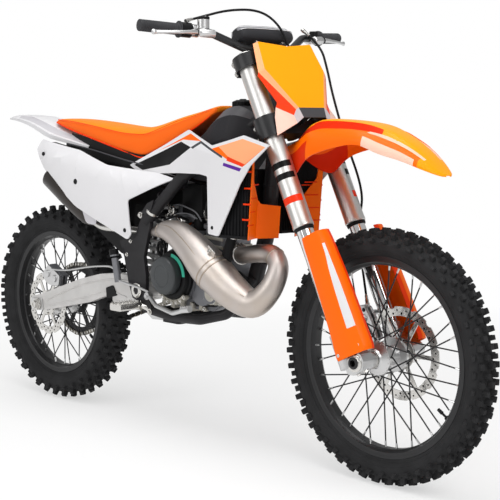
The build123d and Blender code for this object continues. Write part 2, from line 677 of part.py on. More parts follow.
with BuildPart() as radiator_guards:
    for hand in (-1, 1):
        (x0, y0), (x1, y1), (x2, y2) = GUARD_PLAN
        fold = ((x0, y0), (x1, y1), (x2, y2), (x2 - GUARD_WALL, y2), (x1 - GUARD_WALL, y1), (x0 - GUARD_WALL, y0))
        plan_prism(hand, fold, RADIATOR_FOOT_Z - 2, GUARD_LEAN, 232)
    with BuildSketch(cross(900)):
        for hand in (-1, 1):
            with BuildLine():
                Polyline((hand * 30, 640), (hand * 30, 740), (hand * 84, 748), (hand * 130, 815), (hand * 138, 884),
                         (hand * 160, 884), (hand * 160, 640), close=True)
            make_face()
    extrude(amount=400, mode=Mode.INTERSECT)
keep(radiator_guards, "radiator_guards")


# -------------------------------------------------------------------------------------------- bodywork

TANK_STATIONS = (
    # x, top, bottom, half width
    (664, 880, 846, 60), (760, 914, 806, 82), (845, 966, 800, 98), (900, 1012, 812, 104), (950, 1030, 852, 98),
    (1000, 1014, 894, 72), (1040, 984, 912, 40),
)
with BuildPart() as fuel_tank:
    for x, top, bottom, half in TANK_STATIONS:
        with BuildSketch(cross(x)):
            with Locations((0, (top + bottom) / 2)):
                RectangleRounded(2 * half, top - bottom, 0.42 * (top - bottom))
    loft()
    for hand in (-1, 1):
        tube(
            (ground(1062, hand * 20, 1006), ground(940, hand * 62, 925), ground(770, hand * 104, 812),
             ground(612, hand * (PLATE_Y + 6), 672)), 90, BACKBONE_R + 3, mode=Mode.SUBTRACT)
keep(fuel_tank, "fuel_tank")

CAP_X = 932.0
CAP_TOP_Z = 1054.0
with BuildPart() as fuel_cap:
    rod(ground(CAP_X, 0, 1032), ground(CAP_X, 0, CAP_TOP_Z), 32)
keep(fuel_cap, "fuel_cap")

SEAT_STATIONS = (
    # x, top, lower edge, half width
    (30, 990, 980, 46), (150, 991, 955, 72), (290, 979, 927, 88), (430, 965, 897, 95), (SEAT_X, SEAT_HEIGHT, 880, 97),
    (575, 965, 868, 97), (680, 992, 911, 88), (790, 1014, 958, 76), (866, 1032, 1008, 52),
)
with BuildPart() as seat:
    for x, top, edge, half in SEAT_STATIONS:
        rise = top - edge
        with BuildSketch(cross(x)):
            with BuildLine():
                Spline(
                    (half, edge), (0.96 * half, edge + 0.5 * rise), (0.62 * half, edge + 0.93 * rise), (0, top),
                    (-0.62 * half, edge + 0.93 * rise), (-0.96 * half, edge + 0.5 * rise), (-half, edge),
                )
                Line((-half, edge), (half, edge))
            make_face()
    loft(ruled=True)
keep(seat, "seat")

SHROUD_PLAN = ((515, 104), (700, 114), (850, 134), (960, 154), (1100, 170), (1250, 197))
SHROUD_OUTLINE = (
    (523, 845), (823, 958), (959, 913), (1103, 944), (1240, 919), (1149, 861), (1097, 806), (995, 653), (944, 657),
    (940, 824), (899, 829), (785, 828), (578, 819),
)
SIDE_PLAN = ((40, 134), (120, 152), (250, 157), (380, 152), (500, 141), (620, 136), (760, 129))
SIDE_OUTLINE = (
    (67, 922), (51, 891), (105, 827), (293, 704), (545, 610), (564, 630), (552, 736), (754, 809), (677, 824),
    (508, 836), (441, 843), (300, 888),
)
for name, hand in (("left", 1), ("right", -1)):
    with BuildPart() as shroud:
        panel(hand, SHROUD_OUTLINE, SHROUD_PLAN, PANEL_WALL, 2)
    keep(shroud, f"shroud_{name}")
    with BuildPart() as side_panel:
        panel(hand, SIDE_OUTLINE, SIDE_PLAN, PANEL_WALL, 3)
    keep(side_panel, f"side_panel_{name}")

REAR_FENDER_STATIONS = (
    # x, half width, top, edge, crown half width
    (-272, 34, 999, 986, 20), (-200, 50, 1005, 985, 34), (-99, 68, 1001, 972, 48), (-10, 82, 984, 945, 58),
    (60, 90, 964, 921, 64), (150, 92, 940, 912, 68), (280, 88, 914, 890, 66),
)
with BuildPart() as rear_fender:
    for x, half, top, edge, crown_half in REAR_FENDER_STATIONS:
        with BuildSketch(cross(x)):
            add(arch(half, top, edge, crown_half, PANEL_WALL).line)
            make_face()
    loft(ruled=True)
keep(rear_fender, "rear_fender")


# ------------------------------------------------------------------------------ rear suspension, controls

SHOCK_Y = -24.0
SHOCK_TOP = ground(SHOCK_MOUNT_X, SHOCK_Y, SHOCK_MOUNT_Z)
SHOCK_FOOT = ground(498, SHOCK_Y, 398)
with BuildPart() as shock_absorber:
    axis = (SHOCK_FOOT - SHOCK_TOP).normalized()
    rod(SHOCK_TOP + axis * 20, SHOCK_TOP + axis * 66, 30)
    rod(SHOCK_TOP + axis * 66, SHOCK_TOP + axis * 228, 31)
    rod(SHOCK_TOP + axis * 228, SHOCK_FOOT - axis * 20, 12)
keep(shock_absorber, "shock_absorber")

with BuildPart() as shock_linkage:
    slab(side(SHOCK_Y + 16), ((486, 412), (510, 412), (560, 372), (628, 366), (628, 350), (548, 346), (486, 384)), 32, 5)
keep(shock_linkage, "shock_linkage")

with BuildPart() as footpegs:
    for hand in (-1, 1):
        rod(ground(606, hand * 130.5, 400), ground(566, hand * 130.5, 400), 10)
        with BuildSketch(Plane(origin=ground(575, hand * 124, 404), x_dir=(1, 0, 0), z_dir=(0, hand, 0))):
            RectangleRounded(56, 20, 6)
        extrude(amount=86)
keep(footpegs, "footpegs")

with BuildPart() as foot_levers:
    tube((ground(640, -128, 440), ground(700, -150, 418), ground(800, -168, 408), ground(858, -172, 424)), 30, 7)
    rod(ground(848, -172, 424), ground(884, -172, 430), 10)
    rod(ground(640, -121, 440), ground(640, -138, 440), 12)
    tube((ground(735, 104, 440), ground(800, 122, 450), ground(880, 134, 460)), 30, 6.5)
    rod(ground(880, 126, 460), ground(880, 162, 460), 9)
    rod(ground(735, CASE_HALF + 0.2, 440), ground(735, 112, 440), 11)
keep(foot_levers, "foot_levers")

with BuildPart() as rear_brake:
    slab(side(-REAR_DISC_Y + 14), ((-6, 448), (36, 486), (104, 452), (96, 412), (50, 410), (20, 420)), 28, 5)
    slab(side(-REAR_DISC_Y + 4), ((-40, 470), (60, 470), (120, 440), (90, 380), (20, 340)), 8, mode=Mode.SUBTRACT)
    rod(ground(490, -132, 470), ground(474, -132, 546), 11)
    rod(ground(472, -132, 552), ground(468, -132, 572), 14)
    rod(ground(484, -120.5, 500), ground(484, -134, 500), 8)
keep(rear_brake, "rear_brake")


# ---------------------------------------------------------------------------------------------- steering

def fork_bridge():
    """A triple clamp's outline: a ring round each fork tube and the bridge between them."""
    with BuildSketch(Plane.XY) as bridge:
        with Locations((15, 0)):
            RectangleRounded(38, FORK_SPACING - 40, 8)
        Circle(STEM_R + 6)
        with Locations((CLAMP_OFFSET, FORK_HALF), (CLAMP_OFFSET, -FORK_HALF)):
            Circle(OUTER_TUBE_R + 10)
            Circle(OUTER_TUBE_R + 0.1, mode=Mode.SUBTRACT)
    return bridge.sketch


with BuildPart() as lower_triple_clamp:
    with BuildSketch(crown(LOWER_CLAMP_T - CLAMP_DEPTH / 2)):
        add(fork_bridge())
    extrude(amount=CLAMP_DEPTH)
    with BuildSketch(crown(LOWER_CLAMP_T - LOWER_RING_DEPTH / 2)):
        with Locations((CLAMP_OFFSET, FORK_HALF), (CLAMP_OFFSET, -FORK_HALF)):
            Circle(OUTER_TUBE_R + 10)
            Circle(OUTER_TUBE_R + 0.1, mode=Mode.SUBTRACT)
    extrude(amount=LOWER_RING_DEPTH)
    rod(steer(0, 0, LOWER_CLAMP_T), steer(0, 0, UPPER_CLAMP_T - CLAMP_DEPTH / 2), STEM_R)
keep(lower_triple_clamp, "lower_triple_clamp")

BAR_T = 951.0
BAR_N = 16.0
with BuildPart() as upper_triple_clamp:
    with BuildSketch(crown(UPPER_CLAMP_T - CLAMP_DEPTH / 2)):
        add(fork_bridge())
    extrude(amount=CLAMP_DEPTH)
    for y in (-52, 52):
        with BuildSketch(crown(UPPER_CLAMP_T + CLAMP_DEPTH / 2 - 4)):
            with Locations((BAR_N, y)):
                RectangleRounded(38, 26, 8)
        extrude(amount=BAR_T + 18 - (UPPER_CLAMP_T + CLAMP_DEPTH / 2 - 4))
    rod(steer(0, 0, UPPER_CLAMP_T), steer(0, 0, UPPER_CLAMP_T + CLAMP_DEPTH / 2 + 12), 19)
    rod(steer(BAR_N, -80, BAR_T), steer(BAR_N, 80, BAR_T), BAR_END_R, mode=Mode.SUBTRACT)
keep(upper_triple_clamp, "upper_triple_clamp")

with BuildPart() as fork_outer_tubes:
    for hand in (-1, 1):
        y = hand * FORK_HALF
        rod(steer(CLAMP_OFFSET, y, OUTER_TUBE_T), steer(CLAMP_OFFSET, y, FORK_TOP_T - 8), OUTER_TUBE_R)
        rod(steer(CLAMP_OFFSET, y, FORK_TOP_T - 8), steer(CLAMP_OFFSET, y, FORK_TOP_T), 24)
        rod(steer(CLAMP_OFFSET, y, OUTER_TUBE_T), steer(CLAMP_OFFSET, y, OUTER_TUBE_T + 200), INNER_TUBE_R + CLEARANCE,
            mode=Mode.SUBTRACT)
keep(fork_outer_tubes, "fork_outer_tubes")

INNER_TUBE_FOOT_T = 62.0
with BuildPart() as fork_inner_tubes:
    for hand in (-1, 1):
        y = hand * FORK_HALF
        rod(steer(CLAMP_OFFSET, y, INNER_TUBE_FOOT_T), steer(CLAMP_OFFSET, y, OUTER_TUBE_T + 190), INNER_TUBE_R)
keep(fork_inner_tubes, "fork_inner_tubes")

AXLE_N = CLAMP_OFFSET + AXLE_LEAD
with BuildPart() as axle_clamps:
    for hand in (-1, 1):
        y = hand * FORK_HALF
        rod(steer(CLAMP_OFFSET, y, -4), steer(CLAMP_OFFSET, y, INNER_TUBE_FOOT_T + 30), INNER_TUBE_R + 6)
        slab(fork_side(y + LUG_HALF_WIDTH), ((20, -20), (40, -30), (74, -26), (88, -6), (86, 14), (60, 40), (20, 78)),
             2 * LUG_HALF_WIDTH, 8)
        rod(steer(CLAMP_OFFSET, y, INNER_TUBE_FOOT_T), steer(CLAMP_OFFSET, y, INNER_TUBE_FOOT_T + 40),
            INNER_TUBE_R, mode=Mode.SUBTRACT)
        rod(steer(AXLE_N, y - 40, 0), steer(AXLE_N, y + 40, 0), FRONT_AXLE_R + 0.1, mode=Mode.SUBTRACT)
keep(axle_clamps, "axle_clamps")

with BuildPart() as front_axle:
    half = FORK_HALF + LUG_HALF_WIDTH + 5
    rod(steer(AXLE_N, -half, 0), steer(AXLE_N, half, 0), FRONT_AXLE_R)
    rod(steer(AXLE_N, half - 2, 0), steer(AXLE_N, half + 6, 0), 16)
    rod(steer(AXLE_N, -half - 10, 0), steer(AXLE_N, half + 10, 0), AXLE_BORE_R, mode=Mode.SUBTRACT)
keep(front_axle, "front_axle")

GUARD_SECTIONS = (
    # t, rear n, front n, outer y
    (26, 12, 112, 142), (190, 26, 112, 141), (366, 28, 98, 140),
)
with BuildPart() as fork_guards:
    for hand in (-1, 1):
        rings = []
        for t, rear_n, front_n, outer_y in GUARD_SECTIONS:
            with BuildSketch(crown(t)) as ring:
                with BuildLine():
                    Polyline(
                        (rear_n, hand * outer_y), (front_n - 26, hand * outer_y), (front_n, hand * (outer_y - 20)),
                        (front_n, hand * 100), (front_n - 4, hand * 100), (front_n - 4, hand * (outer_y - 22)),
                        (front_n - 28, hand * (outer_y - 4)), (rear_n, hand * (outer_y - 4)), close=True,
                    )
                make_face()
            rings.append(ring.sketch)
        loft(sections=rings, ruled=True)
        for t in (36, 84):
            with BuildSketch(crown(t)):
                with Locations((CLAMP_OFFSET + 18, hand * (FORK_HALF + LUG_HALF_WIDTH + 6.5))):
                    Rectangle(20, 12)
            extrude(amount=8)
        rod(steer(CLAMP_OFFSET, hand * FORK_HALF, 20), steer(CLAMP_OFFSET, hand * FORK_HALF, 100), INNER_TUBE_R + 6.2,
            mode=Mode.SUBTRACT)
keep(fork_guards, "fork_guards")

BAR_SWEEP_Y = 190.0
BAR_SHOULDER = 86.0
BAR_RISE_T = 40.0


def bar_route():
    """The handlebar from end to end: a flat middle, two rising shoulders and two swept-back grips."""
    middle = steer(BAR_N, 0, BAR_T)
    half = []
    for x, y, z in ((0, BAR_SHOULDER, 0), (-46, BAR_SWEEP_Y, 46), (-94, BAR_HALF, 58)):
        half.append((middle.X + x, y, middle.Z + z))
    return [Vector(x, -y, z) for x, y, z in reversed(half)] + [Vector(x, y, z) for x, y, z in half]


BAR_ROUTE = bar_route()
HOUSING_LENGTH = 30.0
HOUSING_R = 21.0
with BuildPart() as handlebar:
    tube(BAR_ROUTE, 60, BAR_R, BAR_R - 4)
    rod(steer(BAR_N, -72, BAR_T), steer(BAR_N, 72, BAR_T), BAR_END_R)
keep(handlebar, "handlebar")

with BuildPart() as grips:
    for foot, tip in ((BAR_ROUTE[1], BAR_ROUTE[0]), (BAR_ROUTE[-2], BAR_ROUTE[-1])):
        way = (tip - foot).normalized()
        rod(tip - way * GRIP_LENGTH, tip + way * 4, GRIP_R)
        rod(tip - way * (GRIP_LENGTH + 5), tip - way * GRIP_LENGTH, GRIP_R + 7)
        rod(tip - way * (GRIP_LENGTH + 6), tip + way * 1, BAR_R, mode=Mode.SUBTRACT)
keep(grips, "grips")

with BuildPart() as throttle_housing:
    way = (BAR_ROUTE[1] - BAR_ROUTE[0]).normalized()
    collar = BAR_ROUTE[0] + way * (GRIP_LENGTH + 7)
    rod(collar, collar + way * HOUSING_LENGTH, HOUSING_R)
    tube(BAR_ROUTE, 60, BAR_R + 0.2, mode=Mode.SUBTRACT)
keep(throttle_housing, "throttle_housing")

with BuildPart() as bar_pad:
    slab(fork_side(112), ((-14, 970), (-22, 1000), (-8, 1032), (30, 1036), (48, 1008), (44, 970)), 224, 8)
    tube(BAR_ROUTE, 60, BAR_R + 0.4, mode=Mode.SUBTRACT)
keep(bar_pad, "bar_pad")

with BuildPart() as hand_levers:
    for foot, tip in ((BAR_ROUTE[1], BAR_ROUTE[0]), (BAR_ROUTE[-2], BAR_ROUTE[-1])):
        hand = 1 if tip.Y > 0 else -1
        way = (tip - foot).normalized()
        perch = tip - way * (GRIP_LENGTH + 62)
        rod(perch, perch + way * 22, BAR_R + 7)
        reach = Vector(40, 0, -8)
        rod(perch + way * 11, perch + way * 11 + reach, 10)
        rod(perch + reach - way * 22, perch + reach + way * 26, 12)
        rod(perch + reach + way * 20, perch + reach + way * 50 + Vector(6, 0, 0), 8)
        tube((perch + reach + way * 44 + Vector(6, 0, 0), perch + reach + way * 90 + Vector(10, 0, -4),
              perch + reach + way * 168 + Vector(-2, 0, -10)), 40, 5.5)
        if hand < 0:
            rod(perch + Vector(24, 0, 2), perch + Vector(24, 0, 40), 17)
    tube(BAR_ROUTE, 60, BAR_R + 0.2, mode=Mode.SUBTRACT)
keep(hand_levers, "hand_levers")

PLATE_TOP_N = 82.0
PLATE_FOOT_N = 98.0
PLATE_OUTLINE = (
    (-108, 943), (0, 925), (108, 943), (128, 905), (140, 860), (112, 790), (76, 735), (52, 694), (-52, 694),
    (-76, 735), (-112, 790), (-140, 860), (-128, 905),
)
PLATE_FOOT = steer(PLATE_FOOT_N, 0, 694)
PLATE_TOP = steer(PLATE_TOP_N, 0, 943)
PLATE_UP = (PLATE_TOP - PLATE_FOOT).normalized()
with BuildPart() as number_plate:
    face = Plane(origin=PLATE_FOOT - PLATE_UP * 694, x_dir=(0, 1, 0), z_dir=Vector(0, 1, 0).cross(PLATE_UP))
    slab(face, PLATE_OUTLINE, 3, 3)
    for y in (-64, 64):
        rod(steer(CLAMP_OFFSET + 36, y, 880), steer(PLATE_TOP_N + 4, y, 884), 8)
keep(number_plate, "number_plate")

FRONT_FENDER_STATIONS = (
    # x, half width, top, edge, crown half width
    (1122, 52, 902, 884, 40), (1180, 68, 918, 850, 54), (1222, 76, 962, 832, 58), (1290, 92, 988, 886, 66),
    (1391, 102, 984, 916, 72), (1470, 104, 974, 922, 74), (1530, 92, 954, 900, 64), (1590, 72, 924, 882, 48),
    (1640, 52, 888, 862, 34), (1685, 28, 850, 841, 16),
)
with BuildPart() as front_fender:
    for x, half, top, edge, crown_half in FRONT_FENDER_STATIONS:
        with BuildSketch(cross(x)):
            add(arch(half, top, edge, crown_half, PANEL_WALL).line)
            make_face()
    loft(ruled=True)
keep(front_fender, "front_fender")

with BuildPart() as front_brake_caliper:
    slab(fork_side(FRONT_DISC_Y + 16), ((-26, 60), (-34, 150), (-4, 168), (4, 120), (2, 60)), 32, 6)
    slab(fork_side(FRONT_DISC_Y + 4), ((-60, 20), (-60, 134), (30, 134), (30, 20)), 8, mode=Mode.SUBTRACT)
    rod(steer(-8, FRONT_DISC_Y + 12, 140), steer(-8, FORK_HALF - 12, 140), 8)
keep(front_brake_caliper, "front_brake_caliper")

HOSE_R = 3.5
BRAKE_HOSE_ROUTE = (
    steer(60, 128, 1000), steer(86, 150, 940), steer(84, 144, 860), steer(80, 132, 780), steer(80, 118, 640),
    steer(66, 135, 480), steer(10, 148, 420), steer(-24, 140, 330), steer(-30, 120, 240), steer(-22, 92, 176),
)
with BuildPart() as front_brake_hose:
    tube(BRAKE_HOSE_ROUTE, 26, HOSE_R)
keep(front_brake_hose, "front_brake_hose")

THROTTLE_CABLE_ROUTE = (
    BAR_ROUTE[0] + (BAR_ROUTE[1] - BAR_ROUTE[0]).normalized() * (GRIP_LENGTH + 22) + Vector(8, 0, HOUSING_R + 4),
    steer(-2, -208, 1058), steer(30, -120, 1070), steer(52, -20, 1064),
    steer(58, 34, 1020), steer(54, 50, 950), steer(46, 58, 860), steer(28, 60, 790), steer(10, 60, 748),
)
with BuildPart() as throttle_cable:
    tube(THROTTLE_CABLE_ROUTE, 26, HOSE_R)
keep(throttle_cable, "throttle_cable")
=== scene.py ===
"""Motocross motorcycle: surfaces, bodywork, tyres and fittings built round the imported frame."""

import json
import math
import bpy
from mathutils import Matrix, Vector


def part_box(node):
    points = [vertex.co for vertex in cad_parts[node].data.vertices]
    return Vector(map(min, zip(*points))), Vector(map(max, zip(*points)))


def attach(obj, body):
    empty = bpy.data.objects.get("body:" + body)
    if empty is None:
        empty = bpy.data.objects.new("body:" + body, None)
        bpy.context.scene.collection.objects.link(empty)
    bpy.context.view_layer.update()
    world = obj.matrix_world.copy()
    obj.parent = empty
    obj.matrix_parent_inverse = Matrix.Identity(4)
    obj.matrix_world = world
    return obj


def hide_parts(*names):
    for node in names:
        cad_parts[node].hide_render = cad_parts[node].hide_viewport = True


bl_info = {
    "name": "Motocross motorcycle",
    "version": (1, 0, 0),
    "blender": (4, 5, 0),
    "location": "3D View > Sidebar > Motocross",
    "description": "Builds the bodywork, engine, wheels and finishes of a motocross motorcycle",
    "category": "Add Mesh",
}

import bmesh
import bpy
from bpy.props import FloatProperty, FloatVectorProperty, PointerProperty
from mathutils import Matrix, Vector

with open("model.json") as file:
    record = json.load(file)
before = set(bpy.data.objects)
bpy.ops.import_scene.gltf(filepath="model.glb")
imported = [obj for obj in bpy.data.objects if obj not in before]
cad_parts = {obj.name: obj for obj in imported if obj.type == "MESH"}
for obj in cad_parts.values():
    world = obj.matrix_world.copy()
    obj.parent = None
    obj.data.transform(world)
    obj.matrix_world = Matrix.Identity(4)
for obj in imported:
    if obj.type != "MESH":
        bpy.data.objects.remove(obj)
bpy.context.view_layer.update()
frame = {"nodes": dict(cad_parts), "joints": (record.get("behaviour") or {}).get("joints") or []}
JOINTS = {joint["name"]: joint for joint in frame["joints"]}

# Everything is drawn in millimetres: GROUND measures ahead of the rear axle, to the left and above the
# ground, and FORK measures ahead of the steering axis, to the left and up along it from the axle's level.
MM = 0.001
REAR_AXLE = Vector(JOINTS["rear_wheel_spin"]["pos_m"])
FRONT_AXLE = Vector(JOINTS["front_wheel_spin"]["pos_m"])
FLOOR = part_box("tyre_rear")[0].z
STEM = Vector(JOINTS["steering_head"]["axis"]).normalized()
AHEAD = Vector((0, 1, 0)).cross(STEM)
SCALE = Matrix.Scale(MM, 4)
GROUND = Matrix.Translation((REAR_AXLE.x, 0, FLOOR)) @ SCALE
FORK = Matrix.Translation(JOINTS["steering_head"]["pos_m"]) @ Matrix(
    ((AHEAD.x, 0, STEM.x, 0), (0, 1, 0, 0), (AHEAD.z, 0, STEM.z, 0), (0, 0, 0, 1))) @ SCALE
FRONT_WHEEL = Matrix.Translation(FRONT_AXLE) @ SCALE
REAR_WHEEL = Matrix.Translation(REAR_AXLE) @ SCALE


# ------------------------------------------------------------------------------------------- finishes

def tint(code):
    """The linear colour of a six-digit screen colour."""
    values = (int(code[i:i + 2], 16) / 255 for i in (0, 2, 4))
    return tuple(v / 12.92 if v <= 0.04045 else ((v + 0.055) / 1.055) ** 2.4 for v in values)


def colour_setting(name, description, code):
    return FloatVectorProperty(name=name, description=description, subtype="COLOR", size=3,
                               min=0.0, max=1.0, default=tint(code))


class MotocrossColours(bpy.types.PropertyGroup):
    orange: colour_setting("Orange", "Moulded guards, front fender and plate surround", "FF6A00")
    # Painted shade: a darker orange on the recessed faces of the orange mouldings, where shade falls.
    deep_orange: colour_setting("Deep orange", "Recessed faces of the orange mouldings", "F23A00")
    # Painted highlight: a pale orange on the lit facets of the orange mouldings, on the shrouds and the plate's
    # borders.
    highlight_orange: colour_setting("Highlight orange", "Light facets on the orange mouldings", "FFAC7A")
    amber: colour_setting("Amber", "Face of the number plate", "FFA400")
    white: colour_setting("White", "Shrouds, side panels and rear fender", "E0DFE1")
    # Painted shade: the grey of the rear fender's recessed side strips.
    grey: colour_setting("Grey", "Shaded strip of the rear fender", "C4C2C6")
    # Painted shade: the seat's sides take a darker copy of this colour, and its top a lighter orange as painted light.
    seat: colour_setting("Seat", "Seat cover", "FF6A08")
    black: colour_setting("Black", "Moulded black parts", "131314")
    purple: colour_setting("Purple", "Accent on the shrouds", "5A1E96")
    # Painted highlight: teal on an arc of the clutch cover's rim.
    teal: colour_setting("Teal", "Accent on the clutch cover", "3FAE93")


class MotocrossSizes(bpy.types.PropertyGroup):
    knob_height: FloatProperty(name="Knob height", description="Height of the tyre knobs above the carcass",
                               default=0.016, min=0.004, max=0.02, subtype="DISTANCE", unit="LENGTH")
    panel_wall: FloatProperty(name="Panel wall", description="Wall of the moulded panels",
                              default=0.0034, min=0.002, max=0.006, subtype="DISTANCE", unit="LENGTH")
    hose_diameter: FloatProperty(name="Hose diameter", description="Diameter of the brake hose and throttle cable",
                                 default=0.007, min=0.004, max=0.012, subtype="DISTANCE", unit="LENGTH")


class Value:
    """A shader value. Arithmetic on it adds the Math nodes that work it out."""

    def __init__(self, finish, socket):
        self.finish = finish
        self.socket = socket

    def math(self, operation, *others):
        return self.finish.node("Math", {"operation": operation}, dict(enumerate((self, *others))))

    def __add__(self, other):
        return self.math("ADD", other)

    def __mul__(self, other):
        return self.math("MULTIPLY", other)

    __radd__ = __add__
    __rmul__ = __mul__

    def sine(self):
        return self.math("SINE")

    def over(self, level, softness=0.01):
        """A mask that is 1 where the value is above the level."""
        return self.finish.node("MapRange", {"clamp": True}, {0: self, 1: level - softness, 2: level + softness})


# How strongly bare metal and everything else mirror the light, how soft the mirror of a clear coat is, and
# how far apart the ribs of the seat's grip panel are, in metres.
METAL_SPECULAR = 0.5
PLAIN_SPECULAR = 0.14
COAT_ROUGHNESS = 0.06
RIB_PITCH = 0.0045


class Finish:
    """A material in the making, held together by its one shader."""

    def __init__(self, name, colour, roughness=0.4, metallic=0.0, coat=0.0):
        self.material = bpy.data.materials.new(name)
        self.material.use_nodes = True
        self.material.diffuse_color = (*colour, 1.0)
        self.tree = self.material.node_tree
        self.shader = self.tree.nodes["Principled BSDF"]
        self.colour = (*colour, 1.0)
        self.set("Base Color", self.colour)
        self.set("Roughness", roughness)
        self.set("Metallic", metallic)
        self.set("Coat Weight", coat)
        self.set("Coat Roughness", COAT_ROUGHNESS)
        self.set("Specular IOR Level", METAL_SPECULAR if metallic else PLAIN_SPECULAR)

    def wire(self, socket, value):
        if isinstance(value, Value):
            self.tree.links.new(value.socket, socket)
        else:
            socket.default_value = value

    def set(self, name, value):
        self.wire(self.shader.inputs[name], value)

    def node(self, kind, settings=None, inputs=None, output=0):
        """Add a node: its settings first, then the values or links of its sockets."""
        node = self.tree.nodes.new("ShaderNode" + kind)
        for name, value in (settings or {}).items():
            setattr(node, name, value)
        for name, value in (inputs or {}).items():
            self.wire(node.inputs[name], value)
        return Value(self, node.outputs[output])

    def place(self):
        return self.node("TexCoord", output="Object")

    def axis(self, letter):
        return self.node("SeparateXYZ", {}, {0: self.place()}, "XYZ".index(letter))

    def noise(self, scale, detail=3.0, stretch=None):
        where = self.place()
        if stretch:
            where = self.node("Mapping", {}, {0: where, 3: stretch})
        return self.node("TexNoise", {}, {"Vector": where, "Scale": scale, "Detail": detail})

    def mix(self, mask, first, second):
        return self.node("Mix", {"data_type": "RGBA"}, {0: mask, 6: first, 7: second}, 2)

    def bump(self, height, strength, distance=0.001):
        self.set("Normal", self.node("Bump", {}, {"Height": height, "Strength": strength, "Distance": distance}))

    def shade(self, mask, other):
        """Blend the base colour towards another where the mask is 1."""
        self.set("Base Color", self.mix(mask, self.colour, (*other, 1.0)))


def moulded(name, colour, roughness=0.34, coat=0.02, grain=0.05):
    """Gloss plastic straight from the mould: faint flow marks and a fine skin."""
    finish = Finish(name, colour, roughness, coat=coat)
    flow = finish.noise(6.0)
    finish.shade(flow.over(0.62, 0.25) * 0.25, tuple(0.86 * v for v in colour))
    finish.set("Roughness", roughness + flow * 0.12)
    finish.bump(finish.noise(900.0), grain, 0.0004)
    return finish.material


def cast(name, colour, roughness=0.48, metallic=0.85, grain=0.5):
    """Sand-cast or shot-peened metal, darker in its hollows."""
    finish = Finish(name, colour, roughness, metallic)
    patches = finish.noise(22.0, 6.0)
    finish.shade(patches.over(0.5, 0.3) * 0.45, tuple(0.62 * v for v in colour))
    finish.set("Roughness", roughness + patches * 0.2)
    finish.bump(finish.noise(700.0, 4.0), grain, 0.0008)
    return finish.material


def painted(name, colour, roughness=0.42, metallic=0.0, coat=0.15):
    """Powder coat: slight orange peel, worn patches of sheen in its roughness, and patches of painted sheen that
    lighten its colour.
    """
    finish = Finish(name, colour, roughness, metallic, coat)
    finish.set("Roughness", roughness + finish.noise(30.0) * 0.16)
    # Painted sheen: random patches of the colour lightened, standing in for a highlight.
    finish.shade(finish.noise(14.0).over(0.58, 0.2) * 0.5, tuple(1.5 * v + 0.004 for v in colour))
    finish.bump(finish.noise(420.0), 0.12, 0.0006)
    return finish.material


def turned(name, colour, roughness=0.24, axis="Z"):
    """Polished or brushed metal, with fine lines across the given axis."""
    finish = Finish(name, colour, roughness, 1.0)
    stretch = tuple(40.0 if letter == axis else 1.0 for letter in "XYZ")
    lines = finish.noise(60.0, 4.0, stretch)
    finish.set("Roughness", roughness - 0.08 + lines * 0.18)
    finish.shade(finish.noise(10.0).over(0.55, 0.3) * 0.4, tuple(0.7 * v for v in colour))
    finish.bump(lines, 0.08, 0.0003)
    return finish.material


def rubber(name, colour, roughness=0.7, grain=0.35):
    finish = Finish(name, colour, roughness)
    dust = finish.noise(18.0, 5.0)
    finish.shade(dust.over(0.55, 0.2) * 0.5, tuple(1.9 * v + 0.004 for v in colour))
    finish.set("Roughness", roughness + dust * 0.15)
    finish.bump(finish.noise(520.0, 4.0), grain, 0.0008)
    return finish.material


def seat_cloth(name, colour, ribs):
    """A grained seat cover; the grip panel has fine ribs across it."""
    finish = Finish(name, colour, 0.55)
    finish.set("Sheen Weight", 0.03)
    grain = finish.noise(620.0, 2.0)
    rib = (finish.axis("X") * (2 * math.pi / RIB_PITCH)).sine() * 0.5 + 0.5
    finish.shade(finish.noise(8.0).over(0.5, 0.3) * 0.3, tuple(0.8 * v for v in colour))
    finish.bump(rib * 0.8 + grain * 0.4 if ribs else grain, 0.5, 0.0007)
    return finish.material


def welded_steel(name, colour):
    """Bare pressed steel: brushed, with faint straw and blue heat marks."""
    finish = Finish(name, colour, 0.3, 1.0)
    soft = finish.noise(9.0, 2.0)
    straw = finish.mix(soft.over(0.56, 0.12) * 0.5, finish.colour, (0.52, 0.44, 0.36, 1.0))
    finish.set("Base Color", straw)
    finish.set("Roughness", 0.36 + finish.noise(34.0, 5.0, (1.0, 8.0, 1.0)) * 0.2)
    finish.bump(finish.noise(140.0, 3.0), 0.05, 0.0006)
    return finish.material


